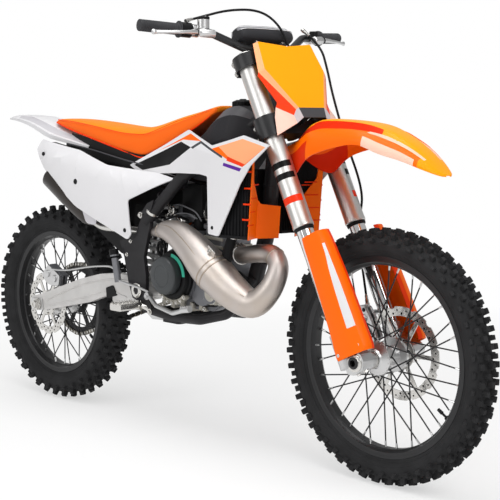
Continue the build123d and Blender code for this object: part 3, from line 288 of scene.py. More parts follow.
def finishes():
    """Every finish by name, made once from the colour settings."""
    colours = bpy.context.scene.motocross_colours
    if "orange plastic" in bpy.data.materials:
        return bpy.data.materials
    moulded("orange plastic", colours.orange)
    # Orange in painted shade, for recessed and shaded faces.
    moulded("deep orange plastic", colours.deep_orange)
    # Painted shade: red in the front fender's grooves and on its rear sides.
    moulded("groove shade red", tint("D92C00"), 0.4, 0.0)
    # Painted highlight on the lit facets of the orange mouldings.
    moulded("orange facet highlight", colours.highlight_orange, 0.4, 0.0)
    moulded("amber plate", colours.amber, 0.5, 0.0)
    # Painted highlight: amber on the front fender's spine and tip.
    moulded("amber highlight plastic", tint("FF9E00"), 0.3, 0.05)
    moulded("white plastic", colours.white, 0.3)
    moulded("grey plastic", colours.grey, 0.4)
    moulded("black plastic", colours.black, 0.42, 0.04, 0.2)
    moulded("black graphic", tint("0C0C0D"), 0.3)
    moulded("purple graphic", colours.purple, 0.3)
    moulded("teal highlight", colours.teal, 0.3)
    moulded("red graphic", tint("E8340F"), 0.3)
    moulded("plate grey band", tint("45464A"), 0.35)
    # Painted highlight on the facet of the plate's side wings.
    moulded("wing facet highlight", tint("F6CFBE"), 0.4)
    # Painted highlight on the front fender's pale facets and edge bands.
    moulded("fender facet highlight", tint("F2C6B0"), 0.4)
    moulded("tank plastic", tint("2C2B2E"), 0.5, 0.04, 0.9)
    # Painted highlight on the tank's facets beside the crown.
    moulded("tank facet highlight", tint("5A595C"), 0.42, 0.1, 0.9)
    painted("frame coat", tint("232224"))
    painted("subframe coat", tint("242326"))
    painted("black anodised", tint("18181A"), 0.34, 0.3)
    painted("cover grey", tint("35383A"), 0.4, 0.2)
    painted("silencer skin", tint("2A2420"), 0.3, 0.4)
    painted("radiator black", tint("0E0E10"), 0.55, 0.0, 0.0)
    painted("spring white", tint("D8D8D8"), 0.3)
    cast("cast alloy", tint("85868A"))
    cast("rough casting", tint("C4C0B6"), 0.55, 0.8, 0.9)
    cast("arm casting", tint("D6D4D2"), 0.34, 0.55, 0.3)
    turned("silver alloy", tint("D2D2D2"), 0.3)
    turned("fork silver", tint("D6D4D1"), 0.36)
    turned("fork chrome", tint("E6E6E6"), 0.1)
    turned("bright steel", tint("D8D6D2"), 0.22, "Y")
    turned("chain steel", tint("8F8A80"), 0.35, "Y")
    welded_steel("pipe steel", tint("C6BEB9"))
    painted("weld bead", tint("A79A8C"), 0.35, 0.9)
    rubber("tyre rubber", tint("262627"))
    rubber("grip rubber", tint("3A3A3C"), 0.6)
    rubber("cable rubber", tint("141415"), 0.45, 0.1)
    # Painted light and shade on the seat: a lighter orange on top, a darker copy of the seat colour on the sides.
    seat_cloth("lit seat top", tint("FF8A0A"), True)
    seat_cloth("shaded seat side", tuple(0.9 * v for v in colours.seat), False)
    seat_cloth("pad cover", tint("303033"), False)
    # Painted highlight on the bar pad's upper edges.
    seat_cloth("pad facet highlight", tint("808084"), False)
    return bpy.data.materials


# --------------------------------------------------------------------------------------------- shapes

RIGHT, LEFT, UP = (0, -1, 0), (0, 1, 0), (0, 0, 1)
SIDES = (("right", -1), ("left", 1))
# How piece() cleans a drawing: vertices as near as SAME_SPOT become one, edges shorter than NO_LENGTH go, and
# edges sharper than SHARP degrees are rounded.
SAME_SPOT = 0.02
NO_LENGTH = 0.01
SHARP = 32


def smooth_path(points, steps):
    """An even curve through the points; a value after the place, such as a radius, is eased as well."""
    rows = [tuple(p) for p in points]
    rows = [rows[0], *rows, rows[-1]]
    out = []
    for before, start, end, after in zip(rows, rows[1:], rows[2:], rows[3:]):
        for i in range(steps):
            t = i / steps
            out.append(tuple(
                0.5 * (2 * b + (c - a) * t + (2 * a - 5 * b + 4 * c - d) * t * t + (3 * b - a - 3 * c + d) * t ** 3)
                for a, b, c, d in zip(before, start, end, after)))
    out.append(rows[-1])
    return out


def pipe(bm, points, radius=None, sides=16, steps=6, flat=1.0):
    """A round bar along the points, by extruding a circle from station to station, with closed ends."""
    rows = smooth_path(points, steps) if steps > 1 else [tuple(p) for p in points]
    places = [Vector(row[:3]) for row in rows]
    radii = [radius if radius is not None else row[3] for row in rows]
    turn = (places[1] - places[0]).to_track_quat("Z", "Y")
    frames = []
    for i, spot in enumerate(places):
        ahead = places[min(i + 1, len(places) - 1)] - places[max(i - 1, 0)]
        heading = turn @ Vector((0, 0, 1))
        turn = heading.rotation_difference(ahead) @ turn
        frames.append(Matrix.Translation(spot) @ turn.to_matrix().to_4x4()
                      @ Matrix.Diagonal((radii[i] * flat, radii[i], radii[i], 1.0)))
    ring = bmesh.ops.create_circle(bm, cap_ends=True, segments=sides, radius=1.0, matrix=frames[0])["verts"]
    edges = list({edge for vert in ring for edge in vert.link_edges})
    for last, here in zip(frames, frames[1:]):
        grown = bmesh.ops.extrude_edge_only(bm, edges=edges)["geom"]
        verts = [g for g in grown if isinstance(g, bmesh.types.BMVert)]
        edges = [g for g in grown if isinstance(g, bmesh.types.BMEdge)
                 and g.verts[0] in verts and g.verts[1] in verts]
        bmesh.ops.transform(bm, matrix=here @ last.inverted(), verts=verts)
    bmesh.ops.contextual_create(bm, geom=edges)


def paint_faces(verts, mark):
    """Give the faces at the vertices the coat of that number in their piece's list."""
    for face in {face for vert in verts for face in vert.link_faces}:
        face.material_index = mark


def round_corners(bm, verts, corner):
    return bmesh.ops.bevel(bm, geom=verts, offset=corner, offset_type="OFFSET", segments=3, profile=0.5,
                           affect="VERTICES", material=-1)["verts"]


def ring_spots(radius, start, step, count, centre=(0, 0, 0)):
    """Spots on a ring about an axis across the motorcycle, by angles in degrees from straight ahead upwards."""
    angles = [math.radians(start + step * i) for i in range(count)]
    return [Vector((centre[0] + radius * math.cos(a), centre[1], centre[2] + radius * math.sin(a))) for a in angles]


def peg(bm, start, end, radius, tip=None, sides=28, mark=0):
    """A straight round peg between two points, which may taper."""
    start, end = Vector(start), Vector(end)
    place = Matrix.Translation((start + end) / 2) @ (end - start).to_track_quat("Z", "Y").to_matrix().to_4x4()
    made = bmesh.ops.create_cone(
        bm, cap_ends=True, segments=sides, radius1=radius, radius2=radius if tip is None else tip,
        depth=(end - start).length, matrix=place)
    paint_faces(made["verts"], mark)


def bolt(bm, spot, way, radius=5.0, high=4.0, mark=0):
    """A hexagon head on its washer, standing on the spot."""
    spot, way = Vector(spot), Vector(way).normalized()
    peg(bm, spot - way, spot + way * 1.2, radius * 1.45, sides=24, mark=mark)
    peg(bm, spot + way, spot + way * high, radius, radius * 0.94, sides=6, mark=mark)


def block(bm, centre, size, turn=(0, 0, 0), mark=0):
    """A box about its centre, turned by angles in degrees."""
    x, y, z = (math.radians(a) for a in turn)
    place = (Matrix.Translation(centre) @ Matrix.Rotation(z, 4, "Z") @ Matrix.Rotation(y, 4, "Y")
             @ Matrix.Rotation(x, 4, "X") @ Matrix.Diagonal((*size, 1.0)))
    paint_faces(bmesh.ops.create_cube(bm, size=1.0, matrix=place)["verts"], mark)


def lathe(bm, profile, place=Matrix.Identity(4), steps=96, angle=360.0, closed=False, mark=0):
    """Spin a profile of (radius, distance along the axis) about the place's Y axis."""
    verts = [bm.verts.new((radius, along, 0)) for radius, along in profile]
    pairs = zip(verts, verts[1:] + (verts[:1] if closed else []))
    edges = [bm.edges.new(pair) for pair in pairs if pair[0] is not pair[1]]
    bmesh.ops.spin(
        bm, geom=verts + edges, cent=(0, 0, 0), axis=(0, -1, 0), dvec=(0, 0, 0), angle=math.radians(angle),
        steps=steps, use_merge=angle == 360.0, use_duplicate=False)
    found, grow = set(verts), list(verts)
    while grow:
        vert = grow.pop()
        for edge in vert.link_edges:
            other = edge.other_vert(vert)
            if other not in found:
                found.add(other)
                grow.append(other)
    paint_faces(found, mark)
    bmesh.ops.transform(bm, matrix=place, verts=list(found))


def axle_place(centre, direction=LEFT):
    """A lathe's place, its Y axis along the direction."""
    return Matrix.Translation(centre) @ Vector(direction).to_track_quat("Y", "Z").to_matrix().to_4x4()


def plate(bm, outline, level, depth, corner, mark=0):
    """A flat upright plate with rounded corners, from a level to the left of the middle and as deep as given."""
    verts = [bm.verts.new((x, level, z)) for x, z in outline]
    bm.faces.new(verts)
    face = max((f for v in round_corners(bm, verts, corner) for f in v.link_faces), key=lambda f: f.calc_area())
    grown = bmesh.ops.extrude_face_region(bm, geom=[face], use_keep_orig=True)["geom"]
    lifted = [g for g in grown if isinstance(g, bmesh.types.BMVert)]
    bmesh.ops.translate(bm, vec=(0, depth, 0), verts=lifted)
    paint_faces({*lifted, *face.verts}, mark)


def loft(bm, sections, closed=True, caps=False, marks=None):
    """Bridge sections, which have equal numbers of points, one to the next."""
    rows = [[bm.verts.new(p) for p in section] for section in sections]
    for first, second in zip(rows, rows[1:]):
        for i in range(len(first) if closed else len(first) - 1):
            j = (i + 1) % len(first)
            face = bm.faces.new((first[i], first[j], second[j], second[i]))
            if marks:
                face.material_index = marks[i]
    if caps:
        for row in (rows[0], rows[-1]):
            bmesh.ops.contextual_create(bm, geom=row)


def inside(x, z, outline):
    """True where the point lies in the outline."""
    hit = False
    for (x0, z0), (x1, z1) in zip(outline, outline[1:] + outline[:1]):
        if (z0 > z) != (z1 > z) and x < (x1 - x0) * (z - z0) / (z1 - z0) + x0:
            hit = not hit
    return hit


def between(table, x):
    """The value at x of a table of (x, value), straight between its rows."""
    for (x0, y0), (x1, y1) in zip(table, table[1:]):
        if x <= x1:
            return y0 + (y1 - y0) * (max(x, x0) - x0) / (x1 - x0)
    return table[-1][1]


def both_halves(x, half):
    """An open section at x: its right half, then its left half, from (out, up) of the left one."""
    return [(x, -y, z) for y, z in reversed(half[1:])] + [(x, y, z) for y, z in half]


def closed_section(x, half):
    """A closed section at x, from (out, up) of its left half from the top round to the bottom."""
    return [(x, y, z) for y, z in half] + [(x, -y, z) for y, z in reversed(half[1:-1])]


def cut(bm, point, normal):
    bmesh.ops.bisect_plane(bm, geom=bm.verts[:] + bm.edges[:] + bm.faces[:], dist=0.05, plane_co=point,
                           plane_no=normal)


def panel(outline, surface, regions=(), spacing=30.0, corner=6.0):
    """A moulded panel: a side outline cut along its colour lines and pushed out to surface(x, z)."""
    bm = bmesh.new()
    verts = [bm.verts.new((x, 0, z)) for x, z in outline]
    bm.faces.new(verts)
    round_corners(bm, verts, corner)
    bmesh.ops.triangulate(bm, faces=bm.faces[:])
    low_x, high_x = min(x for x, z in outline), max(x for x, z in outline)
    low_z, high_z = min(z for x, z in outline), max(z for x, z in outline)
    for i in range(1, int((high_x - low_x) / spacing)):
        cut(bm, (low_x + i * spacing, 0, 0), (1, 0, 0))
    for i in range(1, int((high_z - low_z) / spacing)):
        cut(bm, (0, 0, low_z + i * spacing), (0, 0, 1))
    for _, shape in regions:
        for (x0, z0), (x1, z1) in zip(shape, shape[1:] + shape[:1]):
            cut(bm, (x0, 0, z0), (z1 - z0, 0, x0 - x1))
    for face in bm.faces:
        centre = face.calc_center_median()
        for mark, shape in regions:
            if inside(centre.x, centre.z, list(shape)):
                face.material_index = mark
    for vert in bm.verts:
        vert.co.y = surface(vert.co.x, vert.co.z)
    return bm


def flip_side(bm, hand):
    """Mirror a drawing of the right-hand side where the hand is the left one."""
    if hand > 0:
        bmesh.ops.transform(bm, matrix=Matrix.Diagonal((1, -1, 1, 1)), verts=bm.verts[:])
        bmesh.ops.reverse_faces(bm, faces=bm.faces[:])


def piece(name, bm, body, coats, place=GROUND, replaces=(), wall=0.0, bevel=0.0, levels=0,
          crease=38.0, segments=2):
    """Finish a drawing in millimetres as one object that rides on a body."""
    bmesh.ops.remove_doubles(bm, verts=bm.verts[:], dist=SAME_SPOT)
    bmesh.ops.dissolve_degenerate(bm, edges=bm.edges[:], dist=NO_LENGTH)
    bmesh.ops.recalc_face_normals(bm, faces=bm.faces[:])
    bmesh.ops.transform(bm, matrix=place, verts=bm.verts[:])
    for face in bm.faces:
        face.smooth = True
    mesh = bpy.data.meshes.new(name)
    bm.to_mesh(mesh)
    bm.free()
    made = bpy.data.objects.new(name, mesh)
    bpy.context.scene.collection.objects.link(made)
    store = finishes()
    for coat in coats if isinstance(coats, (list, tuple)) else [coats]:
        mesh.materials.append(store[coat])
    mesh.set_sharp_from_angle(angle=math.radians(crease))
    if wall:
        shell = made.modifiers.new("Wall", "SOLIDIFY")
        shell.thickness = wall * MM
        shell.offset = 0.0
    if bevel:
        edge = made.modifiers.new("Edge", "BEVEL")
        edge.width = bevel * MM
        edge.segments = segments
        edge.limit_method = "ANGLE"
        edge.angle_limit = math.radians(SHARP)
        edge.harden_normals = True
    if levels:
        soft = made.modifiers.new("Soft", "SUBSURF")
        soft.levels = soft.render_levels = levels
    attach(made, body)
    for node in replaces:
        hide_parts(node)
    return made


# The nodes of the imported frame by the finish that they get.
CAD_COATS = {
    "frame coat": ("main_frame",),
    "subframe coat": ("subframe",),
    "cast alloy": ("engine", "carburettor", "rear_brake", "front_brake_caliper"),
    "cover grey": ("clutch_cover", "ignition_cover"),
    "black plastic": ("sprocket_cover", "airbox", "fuel_cap", "chain_guide", "throttle_housing"),
    "pipe steel": ("exhaust_pipe",),
    "silencer skin": ("silencer",),
    "radiator black": ("radiators",),
    "orange plastic": ("radiator_guards", "fork_guards", "front_fender"),
    "tank plastic": ("fuel_tank",),
    "white plastic": ("shroud_left", "shroud_right", "side_panel_left", "side_panel_right", "rear_fender"),
    "lit seat top": ("seat",),
    "spring white": ("shock_absorber",),
    "silver alloy": ("shock_linkage", "foot_levers", "axle_clamps", "hand_levers", "hub_front", "hub_rear"),
    "arm casting": ("swingarm",),
    "chain steel": ("drive_chain",),
    "bright steel": ("footpegs", "rear_axle", "front_axle", "brake_disc_front", "brake_disc_rear"),
    "black anodised": ("upper_triple_clamp", "lower_triple_clamp", "handlebar", "rim_front", "rim_rear",
                       "spokes_front", "spokes_rear", "rear_sprocket"),
    "fork silver": ("fork_outer_tubes",),
    "fork chrome": ("fork_inner_tubes",),
    "pad cover": ("bar_pad",),
    "grip rubber": ("grips",),
    "cable rubber": ("throttle_cable", "front_brake_hose"),
    "amber plate": ("number_plate",),
    "tyre rubber": ("tyre_front", "tyre_rear"),
}


class MOTOCROSS_OT_metalwork(bpy.types.Operator):
    """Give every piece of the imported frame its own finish"""
    bl_idname = "motocross.metalwork"
    bl_label = "Frame finishes"

    def execute(self, context):
        store = finishes()
        for coat, names in CAD_COATS.items():
            for name in names:
                mesh = frame["nodes"][name].data
                mesh.materials.clear()
                mesh.materials.append(store[coat])
        return {"FINISHED"}


# --------------------------------------------------------------------------------------------- wheels

WHEELS = (
    # name, place, tyre radius, half width, bead radius, rim half width, knob pitches round the tyre
    ("front", FRONT_WHEEL, 350.0, 43.0, 263.0, 24.0, 46),
    ("rear", REAR_WHEEL, 343.0, 57.0, 240.0, 31.0, 38),
)
# Knobs of one pitch: place across the tread as a share of the half width, length along the tread and
# width across it in millimetres, lean in degrees, and phase in the pitch.
KNOBS = ((0.0, 15, 19, 0, 0.0), (-0.36, 15, 15, 14, 0.5), (0.36, 15, 15, 14, 0.5), (-0.68, 17, 14, 34, 0.0),
         (0.68, 17, 14, 34, 0.0), (-0.95, 16, 12, 62, 0.5), (0.95, 16, 12, 62, 0.5))
# The knobs' roots in the carcass, their overhang past it, the share of the tread that they take up, their
# taper, and the tyre radius and half width that their lengths and widths are for. Knobs that lean more than
# SHOULDER_LEAN stand on the shoulder and have that share of the others' height.
KNOB_ROOT, KNOB_OVERHANG, TREAD_SHARE, KNOB_TAPER = 3.0, 5, 0.97, 0.84
KNOB_TYRE_RADIUS, KNOB_TYRE_HALF = 346.0, 50.0
SHOULDER_LEAN, SHOULDER_HEIGHT = 50, 0.72
SPOKES = 36
# Where each wheel's disc is: its distance to the left and its radius.
DISCS = {"front": (64, 130), "rear": (-66, 110)}


def mirrored(side, middle):
    """A profile of (radius, out) from one side over the middle to the other."""
    return side + [middle] + [(r, -a) for r, a in reversed(side)]


def tyre_profile(radius, half, bead_r, bead_half):
    """The carcass in section from one bead round the tread to the other."""
    deep = radius - bead_r
    return mirrored([
        (bead_r + 4, bead_half), (bead_r + 14, bead_half + 3), (bead_r + 0.34 * deep, 0.84 * half),
        (bead_r + 0.55 * deep, 0.97 * half), (bead_r + 0.76 * deep, 0.93 * half),
        (bead_r + 0.91 * deep, 0.7 * half), (bead_r + 0.99 * deep, 0.36 * half)], (radius, 0.0))


def knob(bm, place, size):
    """A block about its place, with its top drawn in."""
    made = bmesh.ops.create_cube(bm, size=1.0, matrix=place @ Matrix.Diagonal((*size, 1.0)))
    top = [v for v in made["verts"] if (place.inverted() @ v.co).z > 0]
    hub = sum((v.co for v in top), Vector()) / 4
    for v in top:
        v.co = hub + (v.co - hub) * KNOB_TAPER


class MOTOCROSS_OT_tyres(bpy.types.Operator):
    """Tyres: a grained carcass with rows of knobs and raised rings on the walls"""
    bl_idname = "motocross.tyres"
    bl_label = "Tyres"

    def execute(self, context):
        high = context.scene.motocross_sizes.knob_height / MM
        for name, place, radius, half, bead_r, rim_half, pitches in WHEELS:
            bm = bmesh.new()
            crown, body_half = radius - high, half - KNOB_OVERHANG
            carcass = tyre_profile(crown, body_half, bead_r, rim_half - 5)
            smooth = smooth_path(carcass, 4)
            inner = [(r - 6, 0.86 * a) for r, a in reversed(carcass)]
            lathe(bm, smooth + inner, steps=144, closed=True)
            for ring_r, height in ((bead_r + 22, 1.6), (bead_r + 0.45 * (crown - bead_r), 1.2)):
                for hand in (-1, 1):
                    wall = hand * (between([(r, abs(a)) for r, a in smooth[:len(smooth) // 2]], ring_r) - 0.4)
                    lathe(bm, [(ring_r - 2, wall), (ring_r, wall + hand * height), (ring_r + 2, wall)], steps=144)
            shoulder = [(a / body_half, r) for r, a in smooth if a >= 0][::-1]
            for i in range(pitches):
                for across, long, wide, lean, phase in KNOBS:
                    angle = 2 * math.pi * (i + phase) / pitches
                    surface = between(shoulder, abs(across) * TREAD_SHARE) - KNOB_ROOT
                    tilt = math.radians(lean) * (1 if across > 0 else -1)
                    tall = (high + KNOB_ROOT) * (1.0 if lean < SHOULDER_LEAN else SHOULDER_HEIGHT)
                    knob(bm, Matrix.Rotation(angle, 4, "Y")
                         @ Matrix.Translation((0, across * body_half * TREAD_SHARE, surface))
                         @ Matrix.Rotation(-tilt, 4, "X") @ Matrix.Translation((0, 0, 0.5 * tall)),
                         (long * radius / KNOB_TYRE_RADIUS, wide * half / KNOB_TYRE_HALF, tall))
            piece(f"tyre_tread_{name}", bm, f"{name}_wheel", "tyre rubber", place, (f"tyre_{name}",),
                  bevel=0.9, segments=1, crease=30)
        return {"FINISHED"}


def rim_hoop(name, place, bead_r, rim_half):
    """A rim in section, with rolled edges and a well in its middle."""
    bm = bmesh.new()
    edge = rim_half - 4
    outside = mirrored([
        (bead_r + 12, edge + 0.2), (bead_r + 13.5, edge + 2), (bead_r + 12, rim_half), (bead_r + 6, rim_half),
        (bead_r + 2, rim_half - 1.5), (bead_r - 4, rim_half - 1), (bead_r - 9, 14), (bead_r - 13, 11)],
        (bead_r - 13.4, 0))
    well = [(bead_r, -edge), (bead_r - 8, -9), (bead_r - 8, 9), (bead_r, edge)]
    lathe(bm, outside + well, steps=144, closed=True)
    piece(f"rim_hoop_{name}", bm, f"{name}_wheel", "black anodised", place, (f"rim_{name}",),
          crease=28)


def nipples(name, place, bead_r):
    """The spokes' ends at the rim and at the hub's flanges."""
    bm = bmesh.new()
    for i in range(SPOKES):
        flank = 1 if i % 2 else -1
        lead = 1 if i % 4 < 2 else -1
        rim_angle = math.radians(360 / SPOKES * i)
        hub_angle = rim_angle + lead * math.radians(52)
        tip = Vector(((bead_r - 13) * math.cos(rim_angle), flank * 6 + lead * 3,
                      (bead_r - 13) * math.sin(rim_angle)))
        foot = Vector((48.5 * math.cos(hub_angle), flank * 36 + lead * 3, 48.5 * math.sin(hub_angle)))
        way = (foot - tip).normalized()
        peg(bm, tip - way * 2, tip + way * 16, 3.6, 2.6, sides=8)
        peg(bm, foot - way, foot + way * 6, 3.2, 2.4, sides=8)
    piece(f"nipples_{name}", bm, f"{name}_wheel", "silver alloy", place, ())


def valve(name, place, bead_r):
    """The tube's valve, its nut and its cap."""
    bm = bmesh.new()
    lean = math.radians(33)
    foot = Vector((math.cos(lean), 0, -math.sin(lean))) * (bead_r - 14)
    way = -foot.normalized()
    peg(bm, foot, foot + way * 7, 7, 6.4, sides=20)
    peg(bm, foot + way * 7, foot + way * 24, 3.4, sides=16)
    peg(bm, foot + way * 22, foot + way * 38, 5.2, 4.4, sides=20)
    piece(f"valve_{name}", bm, f"{name}_wheel", "black plastic", place, (), bevel=0.6)


def hub_trim(name, place):
    """Disc bolts, bearing rings and spoke heads on a hub."""
    bm = bmesh.new()
    disc_y, _ = DISCS[name]
    for spot in ring_spots(38, 30, 60, 6, (0, disc_y, 0)):
        peg(bm, spot, spot + Vector((0, math.copysign(6, disc_y), 0)), 5.2, 4.6, sides=6)
    for hand in (-1, 1):
        lathe(bm, [(21, hand * 57), (25, hand * 57), (26, hand * 60), (25, hand * 63), (21, hand * 63)], steps=48)
        for spot in ring_spots(40, 10, 20, 18, (0, hand * 41, 0)):
            peg(bm, spot, spot + Vector((0, hand * 1.6, 0)), 3.4, sides=12)
    piece(f"hub_trim_{name}", bm, f"{name}_wheel", "bright steel", place, (), bevel=0.4)


class MOTOCROSS_OT_wheel_fittings(bpy.types.Operator):
    """Rims with rolled edges, spoke nipples, tube valves, hub rings and disc bolts"""
    bl_idname = "motocross.wheel_fittings"
    bl_label = "Wheel fittings"

    def execute(self, context):
        for name, place, _, _, bead_r, rim_half, _ in WHEELS:
            rim_hoop(name, place, bead_r, rim_half)
            nipples(name, place, bead_r)
            valve(name, place, bead_r)
            hub_trim(name, place)
        return {"FINISHED"}


# ------------------------------------------------------------------------------------- exhaust, silencer

PIPE = (
    (934, -8, 585, 24), (965, -35, 588, 24), (1004, -56, 592, 25), (1065, -62, 602, 26.5), (1126, -66, 602, 27.5),
    (1162, -82, 566, 30), (1150, -106, 505, 34.5), (1098, -122, 464, 41), (1020, -130, 494, 51.5),
    (935, -135, 551, 58.5), (862, -134, 603, 50), (785, -126, 640, 42), (716, -116, 650, 31),
    (660, -101, 642, 18), (606, -92.5, 638, 13.5),
)
# Weld beads round the pipe, as shares of the way along its stations.
PIPE_WELDS = (0.3, 0.625, 0.635, 0.9)
SILENCER_FRONT, SILENCER_REAR = Vector((322, -114, 674)), Vector((118, -114, 796))
SILENCER = (
    # distance ahead of the rear end, half width, half height
    (-6, 30, 34), (0, 34, 43), (6, 36, 46), (120, 36, 43), (196, 35, 38), (238, 33, 32), (262, 24, 24),
    (276, 15, 15),
)


def squared(share):
    """The sine or cosine of a ring, drawn out towards a rounded square."""
    return math.copysign(abs(share) ** 0.8, share)


def expansion_pipe():
    """The pipe's pressings, its weld beads and seams, its tab and the springs at the port."""
    bm = bmesh.new()
    pipe(bm, PIPE, sides=48, steps=8)
    piece("exhaust_pressings", bm, "chassis", "pipe steel", GROUND, ("exhaust_pipe",), crease=70)
    bm = bmesh.new()
    rows = smooth_path(PIPE, 20)
    for share in PIPE_WELDS:
        i = min(int(share * len(rows)), len(rows) - 2)
        spot, ahead = Vector(rows[i][:3]), Vector(rows[i + 1][:3]) - Vector(rows[i][:3])
        r = rows[i][3]
        lathe(bm, [(r - 1, -3), (r + 1.2, -1.6), (r + 1.7, 0), (r + 1.2, 1.6), (r - 1, 3)],
              axle_place(spot, ahead), steps=64)
    for out in (0.82, -0.82):
        rise = 0.585 * math.copysign(1, out)
        pipe(bm, [(x, y - out * r, z + rise * r) for x, y, z, r in PIPE[7:13]], 1.6, 8, 8)
    piece("exhaust_welds", bm, "chassis", "weld bead")
    bm = bmesh.new()
    block(bm, (964, -158, 604), (36, 4, 26), (18, 34, 0))
    peg(bm, (962, -156, 606), (960, -166, 610), 6)
    for y in (-4, -30):
        pipe(bm, [(918, y, 612), (934, y - 4, 616), (950, y - 12, 614)], 3.4, 10, 4)
    piece("exhaust_tabs", bm, "chassis", "bright steel", bevel=0.8)


def silencer():
    """The silencer's can, its inlet pipe and outlet, and the guard beside it."""
    bm = bmesh.new()
    way = (SILENCER_FRONT - SILENCER_REAR).normalized()
    turn = way.to_track_quat("Z", "Y").to_matrix().to_4x4()
    angles = [2 * math.pi * k / 32 for k in range(32)]
    rings = []
    for along, half_wide, half_high in SILENCER:
        place = Matrix.Translation(SILENCER_REAR + way * along) @ turn
        rings.append([place @ Vector((half_high * squared(math.sin(a)), half_wide * squared(math.cos(a)), 0))
                      for a in angles])
    loft(bm, rings, caps=True)
    piece("silencer_can", bm, "chassis", "silencer skin", GROUND, ("silencer",), bevel=1.2)
    bm = bmesh.new()
    pipe(bm, [(348, -112, 654), (384, -108, 641), (430, -100, 638), (500, -93.5, 638), (604, -92.5, 638)],
         13.2, 20, 6)
    place = Matrix.Translation(SILENCER_REAR - way * 7) @ turn
    lathe(bm, [(17, -9), (21, -8), (22, 0), (17, 2)], place @ Matrix.Rotation(math.radians(-90), 4, "X"), 40)
    for angle in map(math.radians, (40, 140, 220, 320)):
        spot = place @ Vector((30 * math.cos(angle), 24 * math.sin(angle), 0))
        peg(bm, spot, spot - way * 4, 3, sides=10)
    piece("silencer_fittings", bm, "chassis", "bright steel", bevel=0.6)
    guard = panel([(322, 700), (352, 752), (400, 690), (388, 646), (340, 652)],
                  lambda x, z: -150 + 0.10 * abs(x - 350) + 0.12 * abs(z - 690), (), 20, 12)
    piece("heat_guard", guard, "chassis", "grey plastic", wall=2.5, bevel=0.8)


class MOTOCROSS_OT_exhaust(bpy.types.Operator):
    """Expansion pipe of welded steel pressings, with its port springs and mounting tabs"""
    bl_idname = "motocross.exhaust"
    bl_label = "Exhaust pipe"

    def execute(self, context):
        expansion_pipe()
        silencer()
        return {"FINISHED"}


# ------------------------------------------------------------------------------------------- bodywork

SHROUD_PLAN = ((515, 104), (700, 114), (850, 134), (960, 154), (1100, 170), (1250, 197))
SHROUD_OUTLINE = (
    (523, 845), (823, 958), (959, 913), (1103, 944), (1240, 919), (1149, 861), (1097, 806), (995, 653), (944, 657),
    (940, 824), (899, 829), (785, 828), (578, 819),
)
# Regions 3 and 4 are painted light: 3 a pale orange painted highlight on the facet above the ridge, 4 a thin strip of
# deep orange painted shade below it.
SHROUD_COLOURS = (
    (1, ((548, 846), (790, 922), (850, 906), (735, 852), (640, 838), (592, 831))),
    (2, ((668, 892), (838, 947), (960, 904), (1040, 878), (1016, 884), (897, 925), (800, 928))),
    (2, ((838, 947), (960, 904), (1100, 934), (1222, 913), (1118, 859), (1040, 875), (900, 926), (812, 930))),
    (3, ((990, 911), (1100, 934), (1222, 913), (1122, 864), (1040, 884))),
    (4, ((1040, 884), (1122, 864), (1112, 856), (1036, 872))),
    (5, ((1022, 866), (1106, 852), (1097, 843), (1018, 857))),
    (6, ((850, 906), (900, 926), (1016, 884), (1014, 878), (902, 918), (862, 902))),
)
SHROUD_COATS = ["white plastic", "black graphic", "orange plastic", "orange facet highlight", "deep orange plastic",
                "purple graphic", "plate grey band"]


def shroud_surface(x, z):
    """How far out the shroud stands: it follows its plan and leans in above its ridge."""
    ridge = between(((540, 846), (860, 905), (1040, 878), (1244, 915)), x)
    return -between(SHROUD_PLAN, x) + 0.22 * max(z - ridge, 0)


SIDE_PLAN = ((40, 134), (120, 152), (250, 157), (380, 152), (500, 141), (620, 136), (760, 129))
SIDE_OUTLINE = (
    (67, 922), (51, 891), (105, 827), (293, 704), (545, 610), (564, 630), (552, 736), (754, 809), (677, 824),
    (508, 836), (441, 843), (300, 888),
)


def side_surface(x, z):
    top = between(((60, 915), (300, 880), (508, 833), (754, 815)), x)
    crest = max(z - (top - 34), 0)
    low = max(between(((105, 860), (293, 740), (545, 650), (760, 800)), x) - z, 0)
    return -between(SIDE_PLAN, x) + 0.5 * crest + 0.12 * low


class MOTOCROSS_OT_side_bodywork(bpy.types.Operator):
    """Radiator shrouds and side panels, with their colour fields, washers and screws"""
    bl_idname = "motocross.side_bodywork"
    bl_label = "Shrouds and side panels"

    def execute(self, context):
        wall = context.scene.motocross_sizes.panel_wall / MM
        for name, hand in SIDES:
            bm = panel(SHROUD_OUTLINE, shroud_surface, SHROUD_COLOURS, 28, 5)
            flip_side(bm, hand)
            piece(f"shroud_skin_{name}", bm, "chassis", SHROUD_COATS, GROUND, (f"shroud_{name}",),
                  wall=wall, bevel=1.0, crease=24)
            bm = panel(SIDE_OUTLINE, side_surface, (), 28, 9)
            flip_side(bm, hand)
            piece(f"side_panel_skin_{name}", bm, "chassis", "white plastic", GROUND, (f"side_panel_{name}",),
                  wall=wall, bevel=1.0, crease=24)
            bm = bmesh.new()
            for x, z, r in ((112, 873, 7), (300, 786, 10), (536, 640, 7.5), (966, 676, 6), (560, 820, 5)):
                y = (side_surface if x < 560 else shroud_surface)(x, z)
                peg(bm, (x, y + 1, z), (x, y - 3.4, z), r, r * 0.86, sides=28)
            flip_side(bm, hand)
            piece(f"panel_screws_{name}", bm, "chassis", "black plastic", bevel=0.7)
        return {"FINISHED"}


SEAT = (
    # x, top, lower edge, half width
    (28, 988, 980, 40), (52, 992, 976, 52), (150, 992, 955, 72), (290, 981, 927, 88), (430, 966, 897, 95),
    (500, 963, 882, 97), (575, 967, 868, 97), (640, 982, 892, 92), (720, 1002, 928, 84), (790, 1014, 958, 74),
    (848, 1028, 996, 58), (866, 1032, 1010, 50),
)


